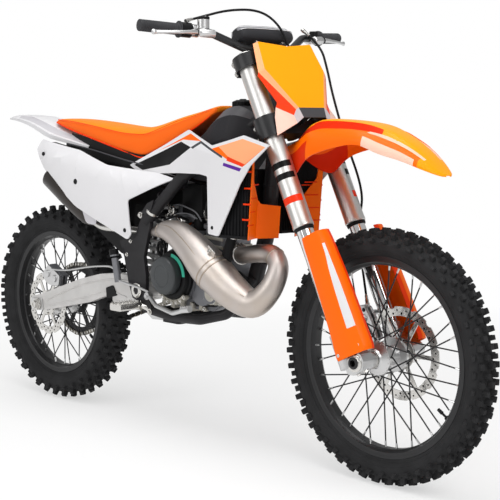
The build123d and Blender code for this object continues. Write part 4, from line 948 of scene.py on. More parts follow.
def seat_section(x, top, edge, half):
    """Across the seat, from the middle of the top round the rolled edge to the middle of the base."""
    rise = top - edge
    return closed_section(x, [
        (0, top), (0.34 * half, top - 0.01 * rise), (0.62 * half, top - 0.06 * rise), (0.84 * half, top - 0.24 * rise),
        (0.97 * half, top - 0.6 * rise), (half, edge + 0.1 * rise), (0.97 * half, edge),
        (0.6 * half, edge + 0.12 * rise), (0, edge + 0.16 * rise)])


class MOTOCROSS_OT_seat(bpy.types.Operator):
    """Seat: firm foam under a stretched cover, a ribbed grip panel on top and a piped lower seam; its top lighter as
    painted light and its sides darker as painted shade
    """
    bl_idname = "motocross.seat"
    bl_label = "Seat"

    def execute(self, context):
        bm = bmesh.new()
        loft(bm, [seat_section(*row) for row in SEAT], caps=True, marks=3 * [0] + 10 * [1] + 3 * [0])
        cover = piece("seat_cover", bm, "chassis", ["lit seat top", "shaded seat side"], GROUND, ("seat",),
                      levels=2)
        bm = bmesh.new()
        for hand in (-1, 1):
            pipe(bm, [(x, hand * 0.985 * half, edge + 1.5) for x, top, edge, half in SEAT[1:-1]], 2.2, 8, 6)
            pipe(bm, [(x, hand * (0.865 * half + 0.5), top - 0.245 * (top - edge) + 0.2)
                      for x, top, edge, half in SEAT[1:-1]], 1.0, 6, 6)
        # The piping is drawn in deep orange as painted shade along the seams.
        piece("seat_piping", bm, "chassis", "deep orange plastic")
        return {"FINISHED"}


# Where the colours of the fenders change, ahead of the rear axle: the grey strips of painted shade on the rear one end;
# on the front one the red painted shade of the rear sides ends, the pale painted highlights of the facets and their
# edge bands start and end, the red painted shade in the grooves ends and the amber painted highlight of the tip starts.
# Then the coats of the front fender, among them red painted shade and pale and amber painted highlights, and the line
# that its facets are on.
SHADED_STRIPS_END = -190
SHADED_SIDES_END, HIGHLIGHT_FACETS, HIGHLIGHT_BANDS, GROOVES_END, HIGHLIGHT_TIP_START = 1270, (1475, 1640), (1488, 1622), 1505, 1632
ORANGE, RED, PALE, AMBER, FACET_LINE = range(5)
REAR_FENDER = (
    # x, half width, top, edge, crown half width
    (-272, 30, 999, 988, 16), (-240, 40, 1003, 987, 24), (-200, 50, 1005, 984, 34), (-99, 68, 1001, 970, 48),
    (-10, 82, 985, 944, 58), (60, 90, 963, 921, 64), (150, 92, 940, 912, 68), (280, 88, 914, 890, 66),
)
FRONT_FENDER = (
    # x, half width, top, edge, ridge half width, groove depth
    (1122, 50, 906, 884, 20, 0), (1180, 66, 932, 846, 24, 2), (1222, 78, 968, 836, 28, 10),
    (1258, 86, 983, 868, 32, 15), (1300, 93, 989, 892, 35, 17), (1391, 102, 985, 914, 38, 17),
    (1470, 104, 974, 922, 40, 14), (1530, 92, 954, 900, 34, 8), (1590, 72, 924, 882, 28, 4),
    (1640, 52, 888, 862, 20, 1), (1672, 34, 860, 849, 13, 0), (1684, 20, 850, 844, 7, 0), (1689, 9, 846, 843, 4, 0),
)


def rear_fender_section(x, half, top, edge, crown):
    """Across the rear fender: a flat crown, a step on each side of it and a straight edge."""
    drop = top - edge
    return both_halves(x, [(0, top), (crown * 0.8, top - 0.02 * drop), (crown, top - 0.12 * drop),
                           (crown + 5, top - 0.34 * drop), (half - 5, top - 0.56 * drop),
                           (half, top - 0.6 * drop), (half - 1, edge)])


def fender_section(x, half, top, edge, ridge, groove):
    """Across the front fender: a raised spine, a groove on each side of it, and a rolled side band."""
    drop = top - edge
    return both_halves(x, [
        (0, top), (ridge * 0.8, top - 0.02 * drop), (ridge, top - 0.06 * drop), (ridge + 8, top - 0.10 * drop - groove),
        (0.5 * (ridge + half) + 2, top - 0.2 * drop - groove * 0.9), (0.82 * half, top - 0.32 * drop),
        (0.93 * half, top - 0.5 * drop), (half, top - 0.78 * drop), (half - 1, edge)])


def rear_fender_skin(wall):
    """The white rear fender, with a grey strip of painted shade in the recessed step along each side."""
    bm = bmesh.new()
    # Marks 1 paint the side steps grey, as painted shade.
    loft(bm, [rear_fender_section(*row) for row in REAR_FENDER], closed=False,
         marks=[0, 0, 1, 1, 0, 0, 0, 0, 1, 1, 0, 0])
    for face in bm.faces:
        if face.calc_center_median().x < SHADED_STRIPS_END:
            face.material_index = 0
    piece("rear_fender_skin", bm, "chassis", ["white plastic", "grey plastic"], GROUND, ("rear_fender",),
          wall=wall, bevel=0.8, levels=1, crease=60)


def front_fender_skin(wall):
    """The orange front fender, red in its grooves and rear sides as painted shade, with pale facets near its tip and
    amber on its spine and tip as painted highlights.
    """
    bm = bmesh.new()
    # The spine's top is painted amber as a highlight, the grooves red as painted shade.
    loft(bm, [fender_section(*row) for row in smooth_path(FRONT_FENDER, 5)], closed=False,
         marks=4 * [ORANGE] + [FACET_LINE, RED] + 4 * [AMBER] + [RED, FACET_LINE] + 4 * [ORANGE])
    for face in bm.faces:
        spot = face.calc_center_median()
        side = abs(spot.y)
        half = between([(row[0], row[1]) for row in FRONT_FENDER], spot.x)
        if face.material_index == RED and spot.x > GROOVES_END:
            face.material_index = AMBER
        if face.material_index == FACET_LINE:
            face.material_index = ORANGE if spot.x < HIGHLIGHT_FACETS[0] else PALE if spot.x < HIGHLIGHT_FACETS[1] else AMBER
        if spot.x < SHADED_SIDES_END and side > 0.9 * half:
            face.material_index = RED
        if spot.x > HIGHLIGHT_TIP_START and face.material_index == ORANGE:
            face.material_index = AMBER
        if HIGHLIGHT_BANDS[0] < spot.x < HIGHLIGHT_BANDS[1] and side > 0.95 * half:
            face.material_index = PALE
    piece("front_fender_skin", bm, "steering", ["orange plastic", "groove shade red", "fender facet highlight", "amber highlight plastic"],
          GROUND, ("front_fender",), wall=wall, bevel=0.8, levels=1, crease=60)


class MOTOCROSS_OT_fenders(bpy.types.Operator):
    """Front fender with its spine and facets in painted highlight and its grooves in painted shade, and the white rear
    fender
    """
    bl_idname = "motocross.fenders"
    bl_label = "Fenders"

    def execute(self, context):
        wall = context.scene.motocross_sizes.panel_wall / MM
        rear_fender_skin(wall)
        front_fender_skin(wall)
        return {"FINISHED"}


class MOTOCROSS_OT_number_plate(bpy.types.Operator):
    """Number plate: a flat face with pale borders of painted highlight, folded flanks below it in deep orange painted
    shade and side wings with a pale facet of painted highlight
    """
    bl_idname = "motocross.number_plate"
    bl_label = "Number plate"

    def execute(self, context):
        def face(bm, mark, points, mirror=True):
            for hand in ((-1, 1) if mirror else (1,)):
                verts = [bm.verts.new((n, hand * y, t)) for y, n, t in points]
                made = bm.faces.new(verts)
                made.material_index = mark

        bm = bmesh.new()
        face(bm, 0, ((-106, 82, 940), (0, 88, 926), (106, 82, 940), (120, 86, 852), (52, 98, 727), (-52, 98, 727),
                     (-120, 86, 852)), mirror=False)
        # Marks 1 are pale painted highlight on the borders, 2 deep orange painted shade on the folded flanks, 4 a pale
        # painted highlight on the wing's facet.
        face(bm, 1, ((106, 82, 940), (119, 74, 936), (136, 74, 846), (120, 86, 852)))
        face(bm, 1, ((120, 86, 852), (136, 74, 846), (62, 96, 722), (52, 98, 727)))
        face(bm, 2, ((136, 74, 846), (139, 70, 838), (102, 73, 754), (62, 96, 722)))
        face(bm, 3, ((-52, 98, 727), (52, 98, 727), (46, 99, 696), (-46, 99, 696)), mirror=False)
        face(bm, 2, ((62, 96, 722), (102, 73, 754), (108, 68, 742), (74, 92, 706)))
        face(bm, 5, ((52, 98, 727), (62, 96, 722), (74, 92, 706), (66, 88, 684), (46, 99, 696)))
        face(bm, 4, ((74, 92, 706), (108, 68, 742), (124, 68, 712), (130, 60, 660), (66, 88, 684)))
        bmesh.ops.remove_doubles(bm, verts=bm.verts[:], dist=0.5)
        piece("plate_shell", bm, "steering",
              ["amber plate", "orange facet highlight", "deep orange plastic", "plate grey band", "wing facet highlight",
               "grey plastic"],
              FORK, ("number_plate",), wall=2.6, bevel=0.8, crease=12)
        bm = bmesh.new()
        for y in (-60, 60):
            pipe(bm, [(58, y, 884), (66, y, 884), (76, y, 884)], 6, 12, 2)
        plate(bm, [(40, 700), (86, 706), (86, 730), (40, 742)], -4, 8, 3)
        piece("plate_mounts", bm, "steering", "black plastic", FORK, (), bevel=0.8)
        return {"FINISHED"}


# ------------------------------------------------------------------------------------------ front end

FORK_N, FORK_Y = 22.0, 108.0
FORK_TUBE = ((24.4, 400), (28.8, 400), (30.2, 402), (30.2, 411), (29.5, 413), (29.5, 904), (28.4, 919), (26.4, 923),
             (26, 928), (24.4, 930.5), (15, 931), (14, 929), (8, 929), (7.5, 932), (0, 932))
FORK_BANDS = (
    # lowest and highest level up the fork, and which coat
    (470, 490, 2), (540, 558, 1), (574, 592, 1),
)
GUARD_ROWS = (
    # level up the fork, rear edge, front edge, share of the width where the pale stripe of painted highlight starts
    (20, 12, 110, 0.66), (32, 9, 113, 0.66), (60, 12, 113, 0.66), (90, 15, 112, 0.66), (150, 19, 111, 0.67),
    (210, 22, 109, 0.70), (260, 24, 106, 0.76), (300, 26, 103, 0.84), (340, 27, 100, 0.87), (366, 30, 96, 0.87),
)
# The guards' pale stripe of painted highlight between two levels up the fork, and the share of the width where it ends;
# the orange patch over it, from a level upwards and between two shares; and the distance out where the wrapped edge, in
# painted shade, starts.
HIGHLIGHT_STRIPE, STRIPE_END = (84, 322), 0.92
PATCH_LOW, PATCH = 300, (0.6, 0.8)
WRAPPED_Y = 112
# Pinch bolts of the triple clamps, as (level up the fork, radius).
CLAMP_BOLTS = ((888, 8), (918, 8), (682, 6), (716, 6))


def guard_row(level, rear, front, stripe):
    """Across a fork guard from its rear edge round the front of the tube."""
    wide = front - rear
    return [(rear, 137.5, level), (rear + 0.1 * wide, 139.6, level), (rear + 0.3 * wide, 140.4, level),
            (rear + 0.52 * wide, 140.2, level), (rear + stripe * wide, 138.2 - 12 * (stripe - 0.66), level),
            (rear + 0.92 * wide, 130.5, level), (front - 1, 119, level), (front, 106, level), (front - 4, 93, level)]


def fork_tubes():
    """The outer tubes with their caps, wipers and bands."""
    bm = bmesh.new()
    for hand in (-1, 1):
        place = axle_place((FORK_N, hand * FORK_Y, 0), UP)
        lathe(bm, FORK_TUBE, place, 64)
        lathe(bm, [(24.2, 390), (26.5, 391), (27.6, 394), (27.6, 400.5), (24.2, 400.5)], place, 64, mark=3)
        a = math.radians(hand * 90 + 96)
        outward = Matrix(((math.cos(a), 0, math.sin(a), FORK_N), (math.sin(a), 0, -math.cos(a), hand * FORK_Y),
                          (0, 1, 0, 0), (0, 0, 0, 1)))
        for low, high, mark in FORK_BANDS:
            lathe(bm, [(29.2, low), (29.68, low + 0.3), (29.68, high - 0.3), (29.2, high)], outward, 40, 192,
                  mark=mark)
    piece("fork_tubes", bm, "steering", ["fork silver", "black graphic", "red graphic", "cable rubber"], FORK,
          ("fork_outer_tubes",), crease=30)


def fork_guard_shells(wall):
    """Guards round the front of the tubes, with a pale stripe of painted highlight and inner edges in deep orange
    painted shade.
    """
    bm = bmesh.new()
    for hand in (-1, 1):
        rows = [[(n, hand * y, t) for n, y, t in guard_row(*row)] for row in smooth_path(GUARD_ROWS, 3)]
        loft(bm, rows, closed=False)
    for face in bm.faces:
        spot = face.calc_center_median()
        rear, front, start = (between([(row[0], row[k]) for row in GUARD_ROWS], spot.z) for k in (1, 2, 3))
        share = (spot.x - rear) / (front - rear)
        # Painted highlight: the pale stripe where the guard curves round the front.
        if HIGHLIGHT_STRIPE[0] < spot.z < HIGHLIGHT_STRIPE[1] and start < share < STRIPE_END:
            face.material_index = 1
        if spot.z > PATCH_LOW and PATCH[0] < share < PATCH[1]:
            face.material_index = 0
        # Painted shade: the wrapped inner edge in deep orange.
        if abs(spot.y) < WRAPPED_Y:
            face.material_index = 2
    piece("fork_guard_shells", bm, "steering", ["orange plastic", "white plastic", "deep orange plastic"], FORK,
          ("fork_guards",), wall=wall * 0.9, bevel=0.8, crease=32)


def fork_fittings():
    """Bolts of the guards, clamps and handlebar, and the ends of the front axle."""
    bm = bmesh.new()
    for hand in (-1, 1):
        for n, t, r in ((20, 34, 5.4), (92, 40, 5.0), (88, 62, 3.6)):
            peg(bm, (n, hand * 132, t), (n, hand * (142.6 if n < 80 else 135), t), r, r * 0.88, sides=24)
        for t, r in CLAMP_BOLTS:
            block(bm, (-17, hand * FORK_Y, t), (10, 30, 18), mark=1)
            for end in (-1, 1):
                bolt(bm, (-18, hand * FORK_Y + end * 15, t), (0, end, 0), r * 0.62, 4.5)
        for n, t in ((38, -27), (66, -26)):
            bolt(bm, (n, hand * 108, t), (0.1, 0, -1), 6, 6)
        axle = axle_place((57, 0, 0), (0, hand, 0))
        lathe(bm, [(13, 128), (19, 128), (24, 129.5), (25, 132), (21, 133.5), (18, 133.6), (17.6, 135.6),
                   (13, 136)], axle, 48)
        lathe(bm, [(9, 134), (16.4, 134.2), (16.4, 137.6), (12, 138.4), (9, 138.2)], axle, 6 if hand > 0 else 40,
              mark=1)
        block(bm, (24, hand * 84, 46), (26, 8, 40), mark=2)
    for y in (-52, 52):
        for n in (2, 30):
            bolt(bm, (n, y, 968), UP, 5, 6)
        block(bm, (16, y, 953), (41, 28, 3), mark=1)
    stem = axle_place((0, 0, 0), UP)
    lathe(bm, [(0, 942), (9, 942), (10, 944), (18, 944), (19.5, 941), (19.5, 934), (17, 933)], stem, 6)
    lathe(bm, [(28.2, 724), (30, 726), (30, 731), (27.5, 733)], stem, 48, mark=1)
    piece("fork_fittings", bm, "steering", ["bright steel", "black anodised", "silver alloy"], FORK, (),
          bevel=0.7)


class MOTOCROSS_OT_fork(bpy.types.Operator):
    """Fork tubes with level bands and caps, wrap-round guards with a pale stripe of painted highlight and inner edges
    in painted shade, and clamp bolts
    """
    bl_idname = "motocross.fork"
    bl_label = "Fork"

    def execute(self, context):
        wall = context.scene.motocross_sizes.panel_wall / MM
        fork_tubes()
        fork_guard_shells(wall)
        fork_fittings()
        return {"FINISHED"}


class MOTOCROSS_OT_front_brake(bpy.types.Operator):
    """Caliper halves with their bosses and pins, and drilled discs on both wheels"""
    bl_idname = "motocross.front_brake"
    bl_label = "Brakes"

    def execute(self, context):
        bm = bmesh.new()
        body = [(-30, 62), (-36, 92), (-40, 128), (-34, 154), (-14, 168), (0, 160), (6, 120), (4, 62)]
        for level in (48.5, 69):
            plate(bm, body, level, 10.5, 7)
        for t in (64, 160):
            peg(bm, (-16, 50, t), (-16, 78, t), 9, sides=24)
        for t in (92, 130):
            lathe(bm, [(13, 0), (12, 4.5), (9, 6), (0, 6)], axle_place((-17, 49, t), RIGHT), 32)
            lathe(bm, [(14, 0), (13, 3.5), (8, 4.5), (7.4, 3), (0, 3)], axle_place((-17, 79, t)), 32)
        for n, t in ((-30, 112), (-6, 152), (-4, 76)):
            bolt(bm, (n, 49, t), RIGHT, 4.2, 4, 1)
        peg(bm, (-8, 78, 140), (-8, 98, 140), 8.5, sides=24)
        peg(bm, (-34, 55, 140), (-34, 72, 140), 4, sides=16, mark=1)
        block(bm, (-22, 64, 112), (22, 9, 52), mark=2)
        piece("caliper_halves", bm, "steering", ["silver alloy", "black anodised", "radiator black"], FORK,
              ("front_brake_caliper",), bevel=1.0)
        through = Vector((0, 1.62, 0))
        for name, place, *_ in WHEELS:
            bm = bmesh.new()
            y, radius = DISCS[name]
            for ring, start, r in ((radius - 19, 0, 3.2), (radius - 10.5, 7.5, 2.6)):
                for spot in ring_spots(ring, start, 15, 24, (0, y, 0)):
                    peg(bm, spot - through, spot + through, r, sides=12)
            piece(f"disc_drillings_{name}", bm, f"{name}_wheel", "radiator black", place, ())
        return {"FINISHED"}


# The handlebar's bends in the scene's own axes, in millimetres, and its two ends, tip first.
BAR = [FORK @ Vector(spot) / MM for spot in ((-42.9, -400, 1044.4), (-5.1, -190, 1012.5), (-5.1, 190, 1012.5),
                                             (-42.9, 400, 1044.4))]
BAR_ENDS = ((BAR[0], BAR[1]), (BAR[3], BAR[2]))
GRIP_RIBS = tuple(p for a in range(3, 112, 6) for p in ((16.5, a), (16.5, a + 3.4), (15.5, a + 4.2), (15.5, a + 5.6)))
# The bar pad: its middle, its section as (ahead, up the fork), and along it (distance to the left, share of
# the whole section).
PAD_N, PAD_T = 14, 1003
PAD_SECTION = ((-14, 972), (-21, 985), (-22, 1001), (-11, 1021), (10, 1025), (29, 1024), (46, 1005), (48, 994),
               (45, 972), (16, 969))
PAD_ENDS = ((-106, 0.55), (-104, 0.7), (-90, 0.92), (-60, 0.99), (0, 1.015), (60, 0.99), (90, 0.92), (104, 0.7),
            (106, 0.55))


def pad_spot(n, t, y, share):
    return PAD_N + (n - PAD_N) * share, y, PAD_T + (t - PAD_T) * share


def grip_sleeves():
    """Ribbed sleeves with a flange at their inner end."""
    bm = bmesh.new()
    for tip, foot in BAR_ENDS:
        lathe(bm, [(0, -3.6), (9, -3.6), (10, -3), (15.4, -3), (16.5, -1.6), *GRIP_RIBS, (16.5, 115), (18, 117),
                   (23.4, 118), (23.4, 121.5), (21, 122.6), (11.4, 122.6)], axle_place(tip, foot - tip), 40)
    piece("grip_sleeves", bm, "steering", "grip rubber", SCALE, ("grips",), crease=35)


def lever_sets():
    """Perches, levers, the brake's reservoir and the cable's adjuster."""
    bm = bmesh.new()
    reach = Vector((40, 0, -8))
    for tip, foot in BAR_ENDS:
        way = (tip - foot).normalized()
        perch = tip - way * 180
        lathe(bm, [(11.3, 0), (16.6, 0), (18, 1.4), (18, 20.6), (16.6, 22), (11.3, 22)], axle_place(perch, way), 40)
        peg(bm, perch + way * 11, perch + way * 11 + reach, 11, 9, sides=24)
        body = perch + reach
        lathe(bm, [(0, -24), (9, -24), (12, -21), (12, 20), (10, 24), (8, 26), (8, 46), (6, 50), (0, 50)],
              axle_place(body, way), 32)
        lathe(bm, [(8.6, 30), (9.6, 31), (9.6, 38), (8.6, 39)], axle_place(body, way), 24, mark=1)
        pipe(bm, [(*(body + way * s + Vector((x, 0, z))), r) for s, x, z, r in (
            (36, 6, 0, 6.6), (52, 9, -1, 6.2), (70, 11, -3, 5.4), (95, 11, -5, 4.9), (130, 6, -8, 4.9),
            (156, 0, -10, 5.4), (163, -1, -10, 7.2), (169, -2, -10, 6.6), (172, -2, -10, 3))], sides=16, flat=0.62)
        for end in (3, 19):
            bolt(bm, perch + way * end - Vector((17.4, 0, -3)), (-1, 0, 0.2), 3.4, 3, 1)
        if tip.y < 0:
            cup = perch + Vector((24, 0, 4))
            lathe(bm, [(0, 0), (15, 0), (17, 3), (17, 27), (16, 28), (0, 28)], axle_place(cup, UP), 40)
            lathe(bm, [(16, 27), (17.6, 28), (17.6, 33), (16, 35), (0, 35.6)], axle_place(cup, UP), 40, mark=1)
            for x in (-9, 9):
                peg(bm, cup + Vector((x, 0, 35)), cup + Vector((x, 0, 36.6)), 2.6, sides=16)
        else:
            cup = perch + Vector((24, 0, 2))
            lathe(bm, [(0, 0), (12, 0), (13.5, 2), (13.5, 16), (12, 18), (0, 18)], axle_place(cup, UP), 32, mark=1)
    piece("lever_sets", bm, "steering", ["silver alloy", "black plastic"], SCALE, ("hand_levers",),
          bevel=0.6, crease=35)


def bar_pad():
    """The padded cover of the handlebar, with two upper edges lighter as painted highlight, and its white piping."""
    bm = bmesh.new()
    # Marks 1 paint two upper edges lighter, as painted highlight.
    loft(bm, [[pad_spot(n, t, y, share) for n, t in PAD_SECTION] for y, share in PAD_ENDS], caps=True,
         marks=[0, 0, 1, 0, 0, 1, 0, 0, 0, 0])
    pad = piece("bar_pad_cover", bm, "steering", ["pad cover", "pad facet highlight"], FORK, ("bar_pad",),
                levels=2)
    bm = bmesh.new()
    for n, t in ((45.4, 1005.4), (28.8, 1023.4), (-10.6, 1020.2)):
        pipe(bm, [pad_spot(n, t, y, share) for y, share in PAD_ENDS[1:-1]], 1.1, 8, 4)
    piece("bar_pad_piping", bm, "steering", "white plastic", FORK, ())


class MOTOCROSS_OT_controls(bpy.types.Operator):
    """Ribbed grips, lever blades on their perches, reservoir, and the padded bar cover"""
    bl_idname = "motocross.controls"
    bl_label = "Handlebar controls"

    def execute(self, context):
        grip_sleeves()
        lever_sets()
        bar_pad()
        return {"FINISHED"}


BRAKE_HOSE_ROUTE = (
    (60, 128, 1000), (86, 150, 940), (84, 144, 860), (80, 132, 780), (80, 118, 640), (66, 135, 480), (10, 148, 420),
    (-24, 140, 330), (-30, 120, 240), (-22, 92, 176),
)
THROTTLE_CABLE_ROUTE = (
    (-0.17, -263.7, 1042.7), (-2, -208, 1058), (30, -120, 1070), (52, -20, 1064), (58, 34, 1020), (54, 50, 950),
    (46, 58, 860), (28, 60, 790), (10, 60, 748),
)


class MOTOCROSS_OT_cords(bpy.types.Operator):
    """Front brake hose and throttle cable, each one smooth curve on its own route, and their end fittings"""
    bl_idname = "motocross.cords"
    bl_label = "Hose and cable"

    def execute(self, context):
        thick = context.scene.motocross_sizes.hose_diameter
        for node, route, length, stiffness in (("front_brake_hose", BRAKE_HOSE_ROUTE, 0.864, "medium"),
                                               ("throttle_cable", THROTTLE_CABLE_ROUTE, 0.598, "stiff")):
            spots = [FORK @ Vector(spot) for spot in route]
            curve = bpy.data.curves.new(node + "_line", "CURVE")
            curve.dimensions = "3D"
            spline = curve.splines.new("NURBS")
            spline.points.add(len(spots) - 1)
            for point, spot in zip(spline.points, spots):
                point.co = (*spot, 1.0)
            spline.order_u = 3
            spline.use_endpoint_u = True
            spline.resolution_u = 10
            curve.bevel_depth = thick / 2
            curve.bevel_resolution = 4
            curve.use_fill_caps = True
            curve.materials.append(finishes()["cable rubber"])
            made = bpy.data.objects.new(node + "_line", curve)
            context.scene.collection.objects.link(made)
            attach(made, "steering")
            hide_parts(node)
        bm = bmesh.new()
        for route in (BRAKE_HOSE_ROUTE, THROTTLE_CABLE_ROUTE):
            for end, beside in ((route[0], route[1]), (route[-1], route[-2])):
                spot, way = Vector(end), (Vector(beside) - Vector(end)).normalized()
                lathe(bm, [(0, -6), (5.6, -6), (5.6, 8), (4.8, 10), (4.8, 20), (3.9, 24), (3.2, 24)],
                      axle_place(spot, way), 20)
        peg(bm, (60, 128, 1000), (46, 150, 1004), 6.5, 5, 20)
        peg(bm, (-22, 92, 172), (-20, 84, 162), 6.5, 8, 20)
        block(bm, (-24, 136, 330), (10, 12, 9), mark=1)
        piece("hose_fittings", bm, "steering", ["bright steel", "black plastic"], FORK, (), bevel=0.4)
        return {"FINISHED"}


# ------------------------------------------------------------------------------- engine and its fittings

CLUTCH = Vector((746, -104, 513))
CRANK = Vector((850, 86, 482))
PUMP = Vector((900, -76, 470))
HEAD_UP = (0.07, 0, 1)
HOSE_CLAMP = ((13, -5), (16.6, -5), (16.6, 5), (13, 5))


def arc(bm, profile, centre, start, sweep, steps=32, mark=0):
    """Part of a ring about the right-hand side of the engine, by angles from straight ahead upwards."""
    a = math.radians(start)
    place = Matrix(((math.cos(a), 0, -math.sin(a), centre[0]), (0, -1, 0, centre[1]),
                    (math.sin(a), 0, math.cos(a), centre[2]), (0, 0, 0, 1)))
    lathe(bm, profile, place, steps, sweep, closed=True, mark=mark)


def clutch_case():
    """The clutch cover: a deep round lid on its dark ring, with a painted teal highlight on an arc of its rim."""
    bm = bmesh.new()
    lathe(bm, [(0, 0.4), (78, 0.4), (78, 10), (74, 13), (72, 24), (70, 27.5), (66, 29), (60, 29), (60, 25),
               (0, 25)], axle_place(CLUTCH, RIGHT), 96, mark=1)
    lathe(bm, [(0, 26), (58, 26), (58, 46), (57, 51), (54, 54.4), (49, 55.8), (36, 55.8), (34, 54.6), (32, 54.6),
               (30, 55.8), (0, 56)], axle_place(CLUTCH + Vector((-7, 0, 1)), RIGHT), 96)
    # Painted highlight: a teal arc on the upper front of the rim.
    arc(bm, [(59, 28), (69.5, 27), (70, 29), (68, 30.4), (60, 31)], CLUTCH, 2, 80, mark=2)
    piece("clutch_case", bm, "chassis", ["cover grey", "black plastic", "teal highlight"], GROUND,
          ("clutch_cover",), crease=28)


def ignition_case():
    """The ignition cover on the left, with the bolts round it."""
    bm = bmesh.new()
    lathe(bm, [(0, 0), (62, 0), (62, 16), (59, 21), (52, 24), (30, 24.4), (28, 22.6), (0, 22.6)],
          axle_place(CRANK), 80)
    for spot in ring_spots(66, 12, 51.4, 7, CRANK):
        peg(bm, spot - Vector((0, 8, 0)), spot + Vector((0, 7, 0)), 6.5, sides=20)
        bolt(bm, spot + Vector((0, 7, 0)), LEFT, 3.8, 4, 1)
    piece("ignition_case", bm, "chassis", ["cover grey", "bright steel"], GROUND, ("ignition_cover",),
          bevel=0.5, crease=28)


def case_castings():
    """Lugs, bolts and ribs of the cases, the water pump, the cylinder's fins and the port."""
    bm = bmesh.new()
    arc(bm, [(74, 0), (86, 0), (88, 4), (86, 14), (80, 19), (74, 20)], CLUTCH, 196, 118)
    for spot in ring_spots(84, 200, 14, 9, CLUTCH - Vector((0, 6, 0))):
        peg(bm, spot, spot + Vector((0, -16, 0)), 7, 6.2, sides=20)
        bolt(bm, spot + Vector((0, -15.4, 0)), RIGHT, 3.6, 4, 1)
    for k in range(5):
        block(bm, (660 + 44 * k, -70, 424 - 6 * (k % 2)), (16, 30, 26), (0, 10, 8 - 5 * k))
    for x, z in ((642, 500), (652, 552), (700, 582), (930, 540), (940, 492), (914, 440), (846, 416)):
        peg(bm, (x, -66, z), (x, -82, z), 8, sides=20)
        bolt(bm, (x, -81, z), RIGHT, 4.4, 5, 1)
        if x > 690:
            peg(bm, (x, 66, z), (x, 80, z), 8, sides=20)
            bolt(bm, (x, 79, z), LEFT, 4.4, 5, 1)
    lathe(bm, [(0, 34), (20, 34), (24, 31), (32, 30), (33, 26), (33, 14), (36, 10), (36, 0), (0, 0)],
          axle_place(PUMP, RIGHT), 48)
    peg(bm, (918, -98, 486), (946, -106, 512), 12, sides=24)
    for spot in ring_spots(29, 30, 90, 4, PUMP - Vector((0, 29, 0))):
        bolt(bm, spot, RIGHT, 3.4, 3, 1)
    for k in range(4):
        level = 560 + 24 * k
        for y in (-61, 61):
            block(bm, (864 + k, y, level), (84, 4, 9), (0, 4, 0))
        block(bm, (918 + k, 0, level), (5, 96, 9), (0, 4, 0))
    for x in (830, 872, 914):
        for y in (-50, 0, 50):
            if (x, y) != (872, 0):
                peg(bm, (x + 1, y, 684), (x + 2, y, 706 if abs(y) < 10 else 702), 8, 7, sides=20)
                bolt(bm, (x + 2, y, 701), HEAD_UP, 4.6, 5, 1)
    lathe(bm, [(0, 0), (37, 0), (37, 8), (33, 12), (30, 12)], axle_place((908, 0, 585), (1, 0, 0)), 40, mark=1)
    lathe(bm, [(26, 0), (29.5, 0), (30.5, 3), (29.5, 6), (26, 6)], axle_place((948, -20, 586), (1, -0.8, 0)), 40,
          mark=1)
    lathe(bm, [(26, 0), (29, 0), (30, 2.5), (29, 5), (26, 5)], axle_place((962, -33, 587), (1, -0.7, 0)), 40,
          mark=1)
    plate(bm, [(806, 420), (800, 462), (838, 502), (898, 512), (912, 470), (900, 428)], -73, -10, 8, 2)
    piece("case_castings", bm, "chassis", ["rough casting", "bright steel", "black plastic"],
          bevel=1.4, crease=35)


def engine_hoses():
    """The plug cap and its lead, coolant hoses with their clamps, and breather hoses."""
    bm = bmesh.new()
    pipe(bm, [(876, 0, 714), (878, 0, 732), (872, -6, 752), (850, -12, 770), (812, -14, 782)], 6.4, 14, 6)
    lathe(bm, [(0, 0), (12, 0), (12, 4), (9, 8), (8.4, 26), (10, 28), (9, 36), (6, 38)],
          axle_place((876, 0, 706), HEAD_UP), 24)
    pipe(bm, [(946, -106, 512), (972, -112, 560), (986, -110, 612), (1000, -104, 655)], 15, 20, 6)
    for hand in (-1, 1):
        pipe(bm, [(842, hand * 56, 700), (880, hand * 84, 742), (950, hand * 100, 800), (1000, hand * 104, 838)],
             13, 20, 6)
        lathe(bm, HOSE_CLAMP, axle_place((846, hand * 60, 704), (1, hand * 0.7, 1)), 32, mark=1)
    for loop in (((668, -84, 588), (650, -92, 606), (644, -94, 582), (660, -92, 560), (676, -88, 572)),
                 ((700, -70, 640), (676, -84, 648), (664, -88, 628), (672, -88, 596), (668, -86, 560)),
                 ((730, -40, 676), (700, -70, 690), (668, -86, 668), (656, -88, 610), (650, -84, 520))):
        pipe(bm, loop, 4.2, 10, 8)
    for spot, way in (((948, -106, 516), (0.4, -0.1, 1)), ((998, -104, 650), (0.3, 0.1, 1))):
        lathe(bm, HOSE_CLAMP, axle_place(spot, way), 32, mark=1)
    piece("engine_hoses", bm, "chassis", ["cable rubber", "bright steel"], crease=40)


